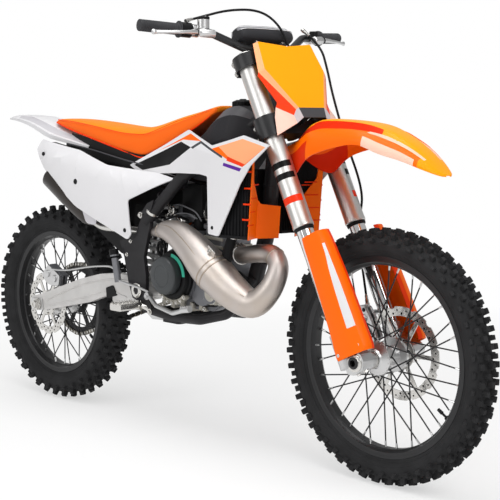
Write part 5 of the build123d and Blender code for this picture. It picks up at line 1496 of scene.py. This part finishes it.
def carburettor_fittings():
    """The carburettor's top, plug and clamps, its round housing and thin tubes."""
    bm = bmesh.new()
    lathe(bm, [(21.4, 60), (23.4, 61), (23.4, 88), (22, 93), (12, 95), (10, 99), (0, 99)],
          axle_place((744, 0, 585), UP), 40, mark=1)
    lathe(bm, [(0, -38), (17, -38), (19, -35), (19, -30), (22.5, -29), (22.5, -24)], axle_place((742, 0, 623)), 32)
    for x, y, z in ((756, -36, 640), (728, -36, 606), (756, -36, 608), (728, -36, 640)):
        bolt(bm, (x, y, z), RIGHT, 2.8, 3, 2)
    for x, z, r in ((704, 632, 37.6), (776, 612, 28.6)):
        lathe(bm, [(r - 2, -6), (r + 0.8, -6), (r + 0.8, 6), (r - 2, 6)], axle_place((x, 0, z), (1, 0, -0.27)), 48,
              mark=2)
    peg(bm, (696, -38, 672), (706, -58, 676), 11, 9, 24, 2)
    peg(bm, (706, -56, 674), (692, -74, 704), 6, 6, 20, 2)
    lathe(bm, [(0, -8), (13, -8), (15, -6), (15, 3), (12, 5), (9, 5), (8, 3), (4, 3), (3, 6), (0, 6)],
          axle_place((691, -76, 707), RIGHT), 36, mark=2)
    for x, z in ((675, 725), (668, 690)):
        lathe(bm, [(2.6, -3), (6, -3), (6, 3), (2.6, 3)], axle_place((x, -78, z), RIGHT), 24, mark=2)
        peg(bm, (691, -78, 707), (x + (691 - x) * 0.3, -78, z + (707 - z) * 0.3), 3.4, 3, 12, 2)
    pipe(bm, [(684, -66, 722), (712, -63, 726), (748, -62, 719), (786, -60, 706), (810, -58, 680)], 2.4, 12, 8)
    pipe(bm, [(698, -66, 697), (728, -62, 700), (762, -60, 698), (790, -58, 686)], 2.4, 12, 8)
    piece("carburettor_fittings", bm, "chassis", ["cast alloy", "black plastic", "bright steel"],
          bevel=0.6)


class MOTOCROSS_OT_engine(bpy.types.Operator):
    """Engine: clutch and ignition covers, cases' bolts and ribs, head, pump, plug cap and hoses"""
    bl_idname = "motocross.engine"
    bl_label = "Engine fittings"

    def execute(self, context):
        clutch_case()
        ignition_case()
        case_castings()
        engine_hoses()
        carburettor_fittings()
        return {"FINISHED"}


class MOTOCROSS_OT_cooling(bpy.types.Operator):
    """Radiators' upright ribs and tanks, and the fins of their orange guards in deep orange painted shade"""
    bl_idname = "motocross.cooling"
    bl_label = "Radiators"

    def execute(self, context):
        lean = math.degrees(math.atan(0.03))
        bm = bmesh.new()
        for hand in (-1, 1):
            for (x0, y0), (x1, y1), count in (((985, 150), (1098, 142), 9), ((1085, 127), (1038, 96), 4),
                                              ((1038, 96), (1036, 58), 4)):
                for k in range(count):
                    s = (k + 0.5) / count
                    x, y = x0 + (x1 - x0) * s, y0 + (y1 - y0) * s
                    turn = math.degrees(math.atan2(y1 - y0, x1 - x0)) * hand
                    block(bm, (x + 3, hand * (y + 0.6), 760), (4, 5, 204), (0, lean, turn))
            for z in (654, 868):
                block(bm, (1042 + 0.03 * (z - 650), hand * 147, z), (118, 10, 9), (0, 0, -4 * hand))
            for x, z in ((1000, 700), (1000, 822)):
                lathe(bm, [(4, 0), (9, 0), (9, 3), (6.4, 4), (4, 3)], axle_place((x, hand * 150, z), (0, hand, 0)), 28,
                      mark=1)
        piece("radiator_ribs", bm, "chassis", ["radiator black", "bright steel"],
              bevel=0.8, segments=1)
        bm = bmesh.new()
        for hand in (-1, 1):
            for z in (706, 750, 795, 842):
                x = 1106 + 0.09 * (z - 650)
                block(bm, (x - 13, hand * 147.4, z), (28, 3, 5), (0, 0, -4 * hand))
                if z < 800:
                    block(bm, (x - 26, hand * 120, z), (4, 52, 4), (0, 0, -26 * hand))
            for k in range(4):
                z = 690 + 38 * k
                s = 0.25 + 0.12 * k
                spot = (1103 + 0.09 * (z - 650) - 22 * s, hand * (144 - 50 * s), z)
                block(bm, spot, (5, 40, 3.4), (0, 0, -25 * hand))
        # The guards' fins are drawn in deep orange as painted shade.
        piece("guard_fins", bm, "chassis", "deep orange plastic", bevel=0.8, segments=1)
        return {"FINISHED"}


TANK = (
    # x, top, bottom, half width, half width of the flat crown, level of the widest line
    (664, 880, 848, 58, 34, 866), (700, 898, 832, 68, 38, 872), (760, 915, 808, 82, 42, 880),
    (845, 968, 802, 98, 46, 896), (880, 1000, 806, 103, 46, 908), (912, 1020, 816, 104, 48, 920),
    (960, 1029, 858, 94, 46, 936),
    (1000, 1015, 892, 73, 36, 946), (1030, 994, 908, 48, 24, 950), (1040, 982, 916, 38, 18, 950),
)
CAP_X = 932


def tank_section(x, top, low, half, crown, wide):
    """Across the tank: a flat crown, a facet beside it, the widest line and the flank drawn in below it."""
    return closed_section(x, [
        (0, top), (crown, top - 1), (0.80 * half, top - 0.30 * (top - wide)), (half, wide),
        (0.96 * half, wide - 0.5 * (wide - low)), (0.6 * half, low), (0, low)])


class MOTOCROSS_OT_tank(bpy.types.Operator):
    """Fuel tank with its crease lines and flat crown, the facets beside the crown lighter as painted highlight, and the
    ribbed cap
    """
    bl_idname = "motocross.tank"
    bl_label = "Fuel tank"

    def execute(self, context):
        bm = bmesh.new()
        # Marks 1 paint the facets beside the crown lighter, as painted highlight.
        loft(bm, [tank_section(*row) for row in smooth_path(TANK, 3)], caps=True,
             marks=[0, 1, 0, 0, 0, 0, 0, 0, 0, 0, 1, 0])
        piece("tank_shell", bm, "chassis", ["tank plastic", "tank facet highlight"], GROUND, ("fuel_tank",),
              bevel=2.5, crease=22, segments=3)
        bm = bmesh.new()
        place = axle_place((CAP_X, 0, 0), UP)
        lathe(bm, [(0, 1046), (20, 1046), (24, 1043.4), (27, 1043.4), (30, 1041), (31, 1030), (31, 1020), (0, 1020)],
              place, 64)
        lathe(bm, [(0, 1049), (9, 1049), (10.5, 1047.6), (10.5, 1045), (0, 1045)], place, 40)
        for angle in range(0, 360, 18):
            a = math.radians(angle)
            block(bm, (CAP_X + 30.4 * math.cos(a), 30.4 * math.sin(a), 1032), (4.4, 4.6, 17), (0, 0, angle))
        piece("tank_cap", bm, "chassis", "black plastic", GROUND, ("fuel_cap",), bevel=0.8, crease=30)
        return {"FINISHED"}


# --------------------------------------------------------------------------------- drive and suspension

CHAIN_PITCH, CHAIN_Y = 15.875, 70
REAR_SPROCKET, REAR_TEETH = Vector((0, 0, 343)), 50
FRONT_SPROCKET, FRONT_TEETH = Vector((642, 0, 470)), 13


def chain_line():
    """The chain's pitch line as evenly spaced pins: two straight runs and the wraps round both sprockets."""
    pitch, rear, front = CHAIN_PITCH, REAR_SPROCKET, FRONT_SPROCKET
    rear_r = pitch / (2 * math.sin(math.radians(180 / REAR_TEETH)))
    front_r = pitch / (2 * math.sin(math.radians(180 / FRONT_TEETH)))
    span, slope = (front - rear).length, math.atan2(front.z - rear.z, front.x - rear.x)
    wrap = math.asin((rear_r - front_r) / span)
    run = math.sqrt(span ** 2 - (rear_r - front_r) ** 2)
    up = slope + math.pi / 2 - wrap
    front_arc, rear_arc = front_r * (math.pi - 2 * wrap), rear_r * (math.pi + 2 * wrap)
    total = 2 * run + front_arc + rear_arc
    count = 2 * round(total / pitch / 2)

    def spot(d):
        if d < run:
            foot = rear + Vector((math.cos(up), 0, math.sin(up))) * rear_r
            return foot + Vector((math.sin(up), 0, -math.cos(up))) * d
        if d < run + front_arc:
            a = up - (d - run) / front_r
            return front + Vector((math.cos(a), 0, math.sin(a))) * front_r
        if d < 2 * run + front_arc:
            down = slope - math.pi / 2 + wrap
            foot = front + Vector((math.cos(down), 0, math.sin(down))) * front_r
            return foot + Vector((math.sin(down), 0, -math.cos(down))) * (d - run - front_arc)
        a = slope - math.pi / 2 + wrap - (d - 2 * run - front_arc) / rear_r
        return rear + Vector((math.cos(a), 0, math.sin(a))) * rear_r

    return [spot(total * i / count) for i in range(count)]


class MOTOCROSS_OT_drive(bpy.types.Operator):
    """Chain of plates and rollers, and the bolts of the rear sprocket"""
    bl_idname = "motocross.drive"
    bl_label = "Chain"

    def execute(self, context):
        bm = bmesh.new()
        pins = chain_line()
        for i, (pin, other) in enumerate(zip(pins, pins[1:] + pins[:1])):
            way = (other - pin).normalized()
            turn = -math.degrees(math.atan2(way.z, way.x))
            wide = 4.6 if i % 2 else 6.6
            for hand in (-1, 1):
                centre = (pin + other) / 2 + Vector((0, CHAIN_Y + hand * wide, 0))
                block(bm, centre, (23, 1.8, 9), (0, turn, 0))
                block(bm, centre, (13, 1.6, 13), (0, turn, 0))
            peg(bm, pin + Vector((0, CHAIN_Y - 8, 0)), pin + Vector((0, CHAIN_Y + 8, 0)), 4.4, sides=8, mark=1)
        piece("chain_links", bm, "chassis", ["chain steel", "bright steel"], GROUND, ("drive_chain",),
              crease=30)
        bm = bmesh.new()
        for spot in ring_spots(43, 30, 60, 6, (0, CHAIN_Y + 3, 0)):
            bolt(bm, spot, LEFT, 5, 5)
        piece("sprocket_bolts", bm, "rear_wheel", "bright steel", REAR_WHEEL, (), bevel=0.4)
        return {"FINISHED"}


# Raised lines along the outside of the swingarm, as (ahead, up).
ARM_RIBS = (((50, 362), (247, 433), (420, 470), (540, 470)), ((60, 344), (300, 402), (400, 430), (500, 418)))


def shock_unit():
    """The shock absorber: body, rod, coil spring and its separate reservoir."""
    top, foot = Vector((590, -24, 690)), Vector((498, -24, 398))
    way = (foot - top).normalized()
    bm = bmesh.new()
    lathe(bm, [(0, 14), (14, 14), (16, 20), (24, 24), (28.5, 28), (28.5, 60), (31, 62), (31, 68), (20, 70),
               (20, 150), (15, 154)], axle_place(top, way), 48, mark=1)
    lathe(bm, [(0, 150), (9, 150), (9, 226), (30, 227), (31, 231), (24, 236), (14, 238), (12, 262), (15, 268),
               (14, 286), (0, 290)], axle_place(top, way), 48, mark=1)
    turn = way.to_track_quat("Z", "Y").to_matrix()
    coil, steps, steps_per_turn = [], 104, 16
    for k in range(steps + 1):
        a = 2 * math.pi * k / steps_per_turn
        coil.append(top + way * (70 + 156 * k / steps) + turn @ Vector((26 * math.cos(a), 26 * math.sin(a), 0)))
    pipe(bm, coil, 4.9, 12, 1)
    peg(bm, top + way * 34 + Vector((0, 0, 6)), top + way * 66 + Vector((-30, -8, 20)), 13, 13, 28, 1)
    piece("shock_unit", bm, "chassis", ["spring white", "silver alloy"], GROUND, ("shock_absorber",),
          crease=40)


def arm_fittings():
    """The swingarm's ribs, pivot, axle plates, chain adjusters, bolts and chain slider."""
    bm = bmesh.new()
    for hand in (-1, 1):
        plate(bm, [(-38, 322), (-38, 362), (26, 366), (30, 324)], hand * 105, hand * 5, 5, 1)
        bolt(bm, (0, hand * 112, 343), (0, hand, 0), 15, 14, 2)
        peg(bm, (-44, hand * 93, 344), (-56, hand * 93, 343), 5, sides=20, mark=2)
        bolt(bm, (-50, hand * 93, 343.5), (-1, 0, 0), 7, 5, 2)
        for rib in ARM_RIBS:
            pipe(bm, [(x, hand * 105.4, z) for x, z in rib], 2.4, 8, 6)
        lathe(bm, [(0, 118.5), (17, 118.5), (22, 119), (24, 121), (24, 125), (20, 127), (12, 127), (11, 125),
                   (0, 125)], axle_place((572, 0, 450), (0, hand, 0)), 48, mark=2)
        for x, z, r, high in ((632, 388, 7, 6), (590, 690, 7, 6), (540, 604, 4.6, 5), (520, 560, 4.6, 5)):
            bolt(bm, (x, hand * 119.5, z), (0, hand, 0), r, high, 2)
    block(bm, (500, 70, 506), (150, 26, 9), (0, -6, 0), 3)
    block(bm, (572, 70, 482), (60, 26, 9), (0, 50, 0), 3)
    plate(bm, [(396, 404), (392, 440), (430, 452), (452, 420)], -105, -3, 6, 3)
    piece("arm_fittings", bm, "chassis", ["arm casting", "silver alloy", "bright steel", "black plastic"],
          bevel=0.9)


class MOTOCROSS_OT_suspension(bpy.types.Operator):
    """Shock absorber with its coil spring, swingarm fittings and chain adjusters"""
    bl_idname = "motocross.suspension"
    bl_label = "Rear suspension"

    def execute(self, context):
        shock_unit()
        arm_fittings()
        return {"FINISHED"}


# The outline and plan of the dark sheet of painted shade below the seat.
UNDER_SEAT_SHADOW_OUTLINE = ((150, 868), (420, 848), (560, 834), (668, 820), (690, 850), (600, 872), (520, 884),
                      (430, 898), (300, 922), (160, 944))
UNDER_SEAT_SHADOW_PLAN = ((150, 66), (300, 84), (500, 96), (690, 90))


def footpeg_teeth():
    """The footpegs' teeth and side walls, and the arms that carry them."""
    bm = bmesh.new()
    for hand in (-1, 1):
        for k in range(9):
            y = hand * (128 + 9.6 * k)
            for x in (552, 566, 584, 598):
                peg(bm, (x, y, 413), (x, y, 421), 2.6, 0.9, 8)
        for x in (549, 601):
            block(bm, (x, hand * 167, 409), (3, 84, 14))
        pipe(bm, [(600, hand * 124, 404), (612, hand * 118, 400), (622, hand * 112, 394)], 9, 16, 4)
    piece("footpeg_teeth", bm, "chassis", "bright steel", bevel=0.5, segments=1)


def pedal_fittings():
    """The gear lever's rubber, the brake pedal's tip, and the rear brake's caliper and lines."""
    bm = bmesh.new()
    lathe(bm, [(0, -13), (9, -13), (11, -11), (11, -7), (9.6, -6), (9.6, -2), (11, -1), (11, 3), (9.6, 4), (9.6, 8),
               (11, 9), (11, 13), (0, 14)], axle_place((880, 146, 460)), 32, mark=1)
    for k in range(4):
        block(bm, (851 + 10 * k, -172, 433 + 1.6 * k), (3, 18, 5), (0, -10, 0))
    bolt(bm, (640, -138, 440), RIGHT, 7, 6)
    bolt(bm, (735, 112, 440), LEFT, 6, 6)
    pipe(bm, [(640, -130, 452), (600, -134, 462), (540, -136, 470), (492, -134, 476)], 4, 12, 6)
    lathe(bm, [(0, 0), (14, 0), (15, 3), (15, 16), (13, 19), (0, 19)], axle_place((471, -132, 556), (-0.2, 0, 1)),
          32, mark=1)
    plate(bm, [(-4, 448), (36, 484), (102, 450), (94, 414), (50, 412), (20, 420)], -80, -7, 6)
    for x, z in ((32, 452), (72, 438)):
        lathe(bm, [(13, 0), (12, 5), (0, 6)], axle_place((x, -87, z), RIGHT), 32)
    pipe(bm, [(60, -90, 470), (160, -96, 476), (300, -100, 500), (420, -112, 512), (470, -124, 500)], 3.4, 10, 8)
    piece("pedal_fittings", bm, "chassis", ["silver alloy", "black plastic"], bevel=0.6)


def frame_fittings():
    """Weld beads round the frame's tubes, and brackets with their bolts."""
    bm = bmesh.new()
    for spot, way, r in (((1052, 0, 796), (0.14, 0, 1), 24), ((1010, 0, 570), (0.3, 0, 1), 24),
                         ((1046, -26, 996), (-0.8, -0.28, -0.5), 19), ((1046, 26, 996), (-0.8, 0.28, -0.5), 19),
                         ((690, -109, 750), (-0.7, 0, -0.6), 19), ((690, 109, 750), (-0.7, 0, -0.6), 19)):
        lathe(bm, [(r - 1, -3), (r + 0.8, -2), (r + 1.2, 0), (r + 0.8, 2), (r - 1, 3)], axle_place(spot, way), 40)
    for hand in (-1, 1):
        plate(bm, [(930, 470), (944, 540), (990, 520), (1000, 488), (968, 468)], hand * 30, hand * 5, 6)
        plate(bm, [(612, 700), (640, 730), (672, 742), (660, 712), (636, 690)], hand * 128, hand * 5, 4)
        plate(bm, [(700, 744), (730, 802), (768, 790), (740, 762)], hand * 104, hand * 4, 4)
        for x, y, z, r in ((950, 35, 500, 6.5), (738, 108, 792, 6), (520, 112, 602, 6)):
            bolt(bm, (x, hand * y, z), (0, hand, 0), r, 6, 1)
        lathe(bm, [(20, -5), (22, -4.6), (22, 4.6), (20, 5)], axle_place((644, hand * 112, 704), (0.62, 0, 0.78)),
              40, mark=1)
    piece("frame_fittings", bm, "chassis", ["frame coat", "bright steel"], bevel=0.8)


def shade_fillers():
    """Painted shade: dark boxes and sheets that fill see-through gaps under the tank, between the radiators and below
    the seat, where there is only shade.
    """
    bm = bmesh.new()
    # Dark boxes and sheets put where there is only shade: painted shade.
    block(bm, (745, 0, 742), (92, 76, 96))
    block(bm, (1003, 0, 790), (50, 66, 104))
    for hand in (-1, 1):
        plate(bm, [(252, 684), (466, 606), (500, 590), (492, 540), (428, 556), (284, 636)], hand * 70, hand * 3, 6)
    piece("shadow_boxes", bm, "chassis", "black plastic", bevel=1.5)
    for name, hand in SIDES:
        cover = panel(UNDER_SEAT_SHADOW_OUTLINE, lambda x, z: -between(UNDER_SEAT_SHADOW_PLAN, x) - 0.05 * (900 - z), (), 40, 4)
        flip_side(cover, hand)
        piece(f"under_seat_shadow_{name}", cover, "chassis", "black plastic",
              wall=2.4, bevel=0.8)
    bm = bmesh.new()
    for hand in (-1, 1):
        pipe(bm, [(170, hand * 92, 908), (320, hand * 104, 890), (520, hand * 110, 858), (668, hand * 104, 838)],
             2.2, 8, 8)
    piece("under_seat_lines", bm, "chassis", "plate grey band")


class MOTOCROSS_OT_chassis_fittings(bpy.types.Operator):
    """Footpeg teeth, lever pads, rear caliper, frame welds, brackets, and dark pieces of painted shade that close the
    frame's gaps
    """
    bl_idname = "motocross.chassis_fittings"
    bl_label = "Chassis fittings"

    def execute(self, context):
        footpeg_teeth()
        pedal_fittings()
        frame_fittings()
        shade_fillers()
        return {"FINISHED"}


# ---------------------------------------------------------------------------------------------- stage

CAMERA_SPOT = (3.084, -2.532, FLOOR + 0.987)
CAMERA_DOWN, CAMERA_TURN = 6.07, 46.0
CAMERA_LENS, CAMERA_SENSOR = 88.1, 36.0
MIDDLE = (0.7, 0, FLOOR)
FLOOR_RADIUS = 30.0
LAMP_TARGET = Vector((0.75, 0, -0.45))
LAMPS = (
    # name, place, size and power
    ("lamp_over", (0.8, -0.6, 2.6), 2.4, 66), ("lamp_front", (3.6, -1.0, 1.6), 1.6, 36),
    ("lamp_side", (-0.2, -3.4, 1.3), 2.0, 30),
)
# The share of the floor's look that is its own even white close to the machine, growing to the whole away from
# it, and how strongly the sky lights the machine, where 1 is what the camera sees of it.
FLOOR_GLOW, SKY_LIGHT = 0.55, 0.5


class MOTOCROSS_OT_stage(bpy.types.Operator):
    """Camera at three quarters from the front right, a white floor and world, and soft lamps"""
    bl_idname = "motocross.stage"
    bl_label = "Stage"

    def execute(self, context):
        scene = context.scene
        scene.view_settings.view_transform = "Standard"
        data = bpy.data.cameras.new("camera")
        data.lens = CAMERA_LENS
        data.sensor_width = CAMERA_SENSOR
        data.dof.use_dof = False
        camera = bpy.data.objects.new("camera", data)
        camera.location = CAMERA_SPOT
        camera.rotation_euler = (math.radians(90 - CAMERA_DOWN), 0, math.radians(CAMERA_TURN))
        scene.collection.objects.link(camera)
        scene.camera = camera

        bm = bmesh.new()
        bmesh.ops.create_circle(bm, cap_ends=True, segments=96, radius=FLOOR_RADIUS,
                                matrix=Matrix.Translation(MIDDLE))
        mesh = bpy.data.meshes.new("floor")
        bm.to_mesh(mesh)
        bm.free()
        floor = bpy.data.objects.new("floor", mesh)
        scene.collection.objects.link(floor)
        finish = Finish("floor white", (0.93, 0.93, 0.93), 0.9)
        path = finish.node("LightPath")
        rays = path + finish.node("LightPath", output=3) + finish.node("LightPath", output=6)
        far = finish.node("VectorMath", {"operation": "DISTANCE"}, {0: finish.place(), 1: MIDDLE}, 1)
        glow = finish.node("Emission", {}, {0: (1, 1, 1, 1), 1: 1.0})
        lit = Value(finish, finish.shader.outputs[0])
        share = finish.node("Math", {"operation": "MINIMUM"}, {0: rays, 1: 1.0}) * (
            FLOOR_GLOW + (1 - FLOOR_GLOW) * far.over(2.2, 1.0))
        end = finish.tree.nodes["Material Output"]
        finish.wire(end.inputs[0], finish.node("MixShader", {}, {0: share, 1: lit, 2: glow}))
        mesh.materials.append(finish.material)

        world = bpy.data.worlds.new("studio")
        world.use_nodes = True
        tree = world.node_tree
        light_path = tree.nodes.new("ShaderNodeLightPath")
        seen = tree.nodes.new("ShaderNodeMath")
        seen.operation = "MAXIMUM"
        tree.links.new(light_path.outputs["Is Camera Ray"], seen.inputs[0])
        tree.links.new(light_path.outputs["Is Transmission Ray"], seen.inputs[1])
        strength = tree.nodes.new("ShaderNodeMapRange")
        strength.inputs["To Min"].default_value = SKY_LIGHT
        strength.inputs["To Max"].default_value = 1.0
        tree.links.new(seen.outputs[0], strength.inputs["Value"])
        sky = tree.nodes["Background"]
        sky.inputs[0].default_value = (1, 1, 1, 1)
        tree.links.new(strength.outputs[0], sky.inputs[1])
        scene.world = world

        for name, spot, size, energy in LAMPS:
            light = bpy.data.lights.new(name, "AREA")
            light.size = size
            light.energy = energy
            lamp = bpy.data.objects.new(name, light)
            lamp.location = spot
            lamp.rotation_euler = (LAMP_TARGET - Vector(spot)).to_track_quat("-Z", "Y").to_euler()
            scene.collection.objects.link(lamp)
        return {"FINISHED"}


OPERATORS = (
    MOTOCROSS_OT_stage, MOTOCROSS_OT_cords, MOTOCROSS_OT_metalwork, MOTOCROSS_OT_tyres, MOTOCROSS_OT_wheel_fittings,
    MOTOCROSS_OT_exhaust, MOTOCROSS_OT_side_bodywork, MOTOCROSS_OT_seat, MOTOCROSS_OT_fenders,
    MOTOCROSS_OT_number_plate, MOTOCROSS_OT_fork, MOTOCROSS_OT_front_brake, MOTOCROSS_OT_controls,
    MOTOCROSS_OT_engine, MOTOCROSS_OT_cooling, MOTOCROSS_OT_tank, MOTOCROSS_OT_drive, MOTOCROSS_OT_suspension,
    MOTOCROSS_OT_chassis_fittings,
)


class MOTOCROSS_PT_panel(bpy.types.Panel):
    """Lists the motorcycle's settings and the steps that build it"""
    bl_idname = "MOTOCROSS_PT_panel"
    bl_label = "Motocross motorcycle"
    bl_space_type = "VIEW_3D"
    bl_region_type = "UI"
    bl_category = "Motocross"

    def draw(self, context):
        for settings in (context.scene.motocross_colours, context.scene.motocross_sizes):
            for name in settings.__annotations__:
                self.layout.prop(settings, name)
        for operator in OPERATORS:
            self.layout.operator(operator.bl_idname)


CLASSES = (MotocrossColours, MotocrossSizes, *OPERATORS, MOTOCROSS_PT_panel)


def register():
    for cls in CLASSES:
        bpy.utils.register_class(cls)
    bpy.types.Scene.motocross_colours = PointerProperty(type=MotocrossColours)
    bpy.types.Scene.motocross_sizes = PointerProperty(type=MotocrossSizes)


def unregister():
    del bpy.types.Scene.motocross_sizes
    del bpy.types.Scene.motocross_colours
    for cls in reversed(CLASSES):
        bpy.utils.unregister_class(cls)


def main():
    register()
    for operator in OPERATORS:
        getattr(bpy.ops.motocross, operator.bl_idname.split(".")[1])()


if __name__ == "__main__":
    main()
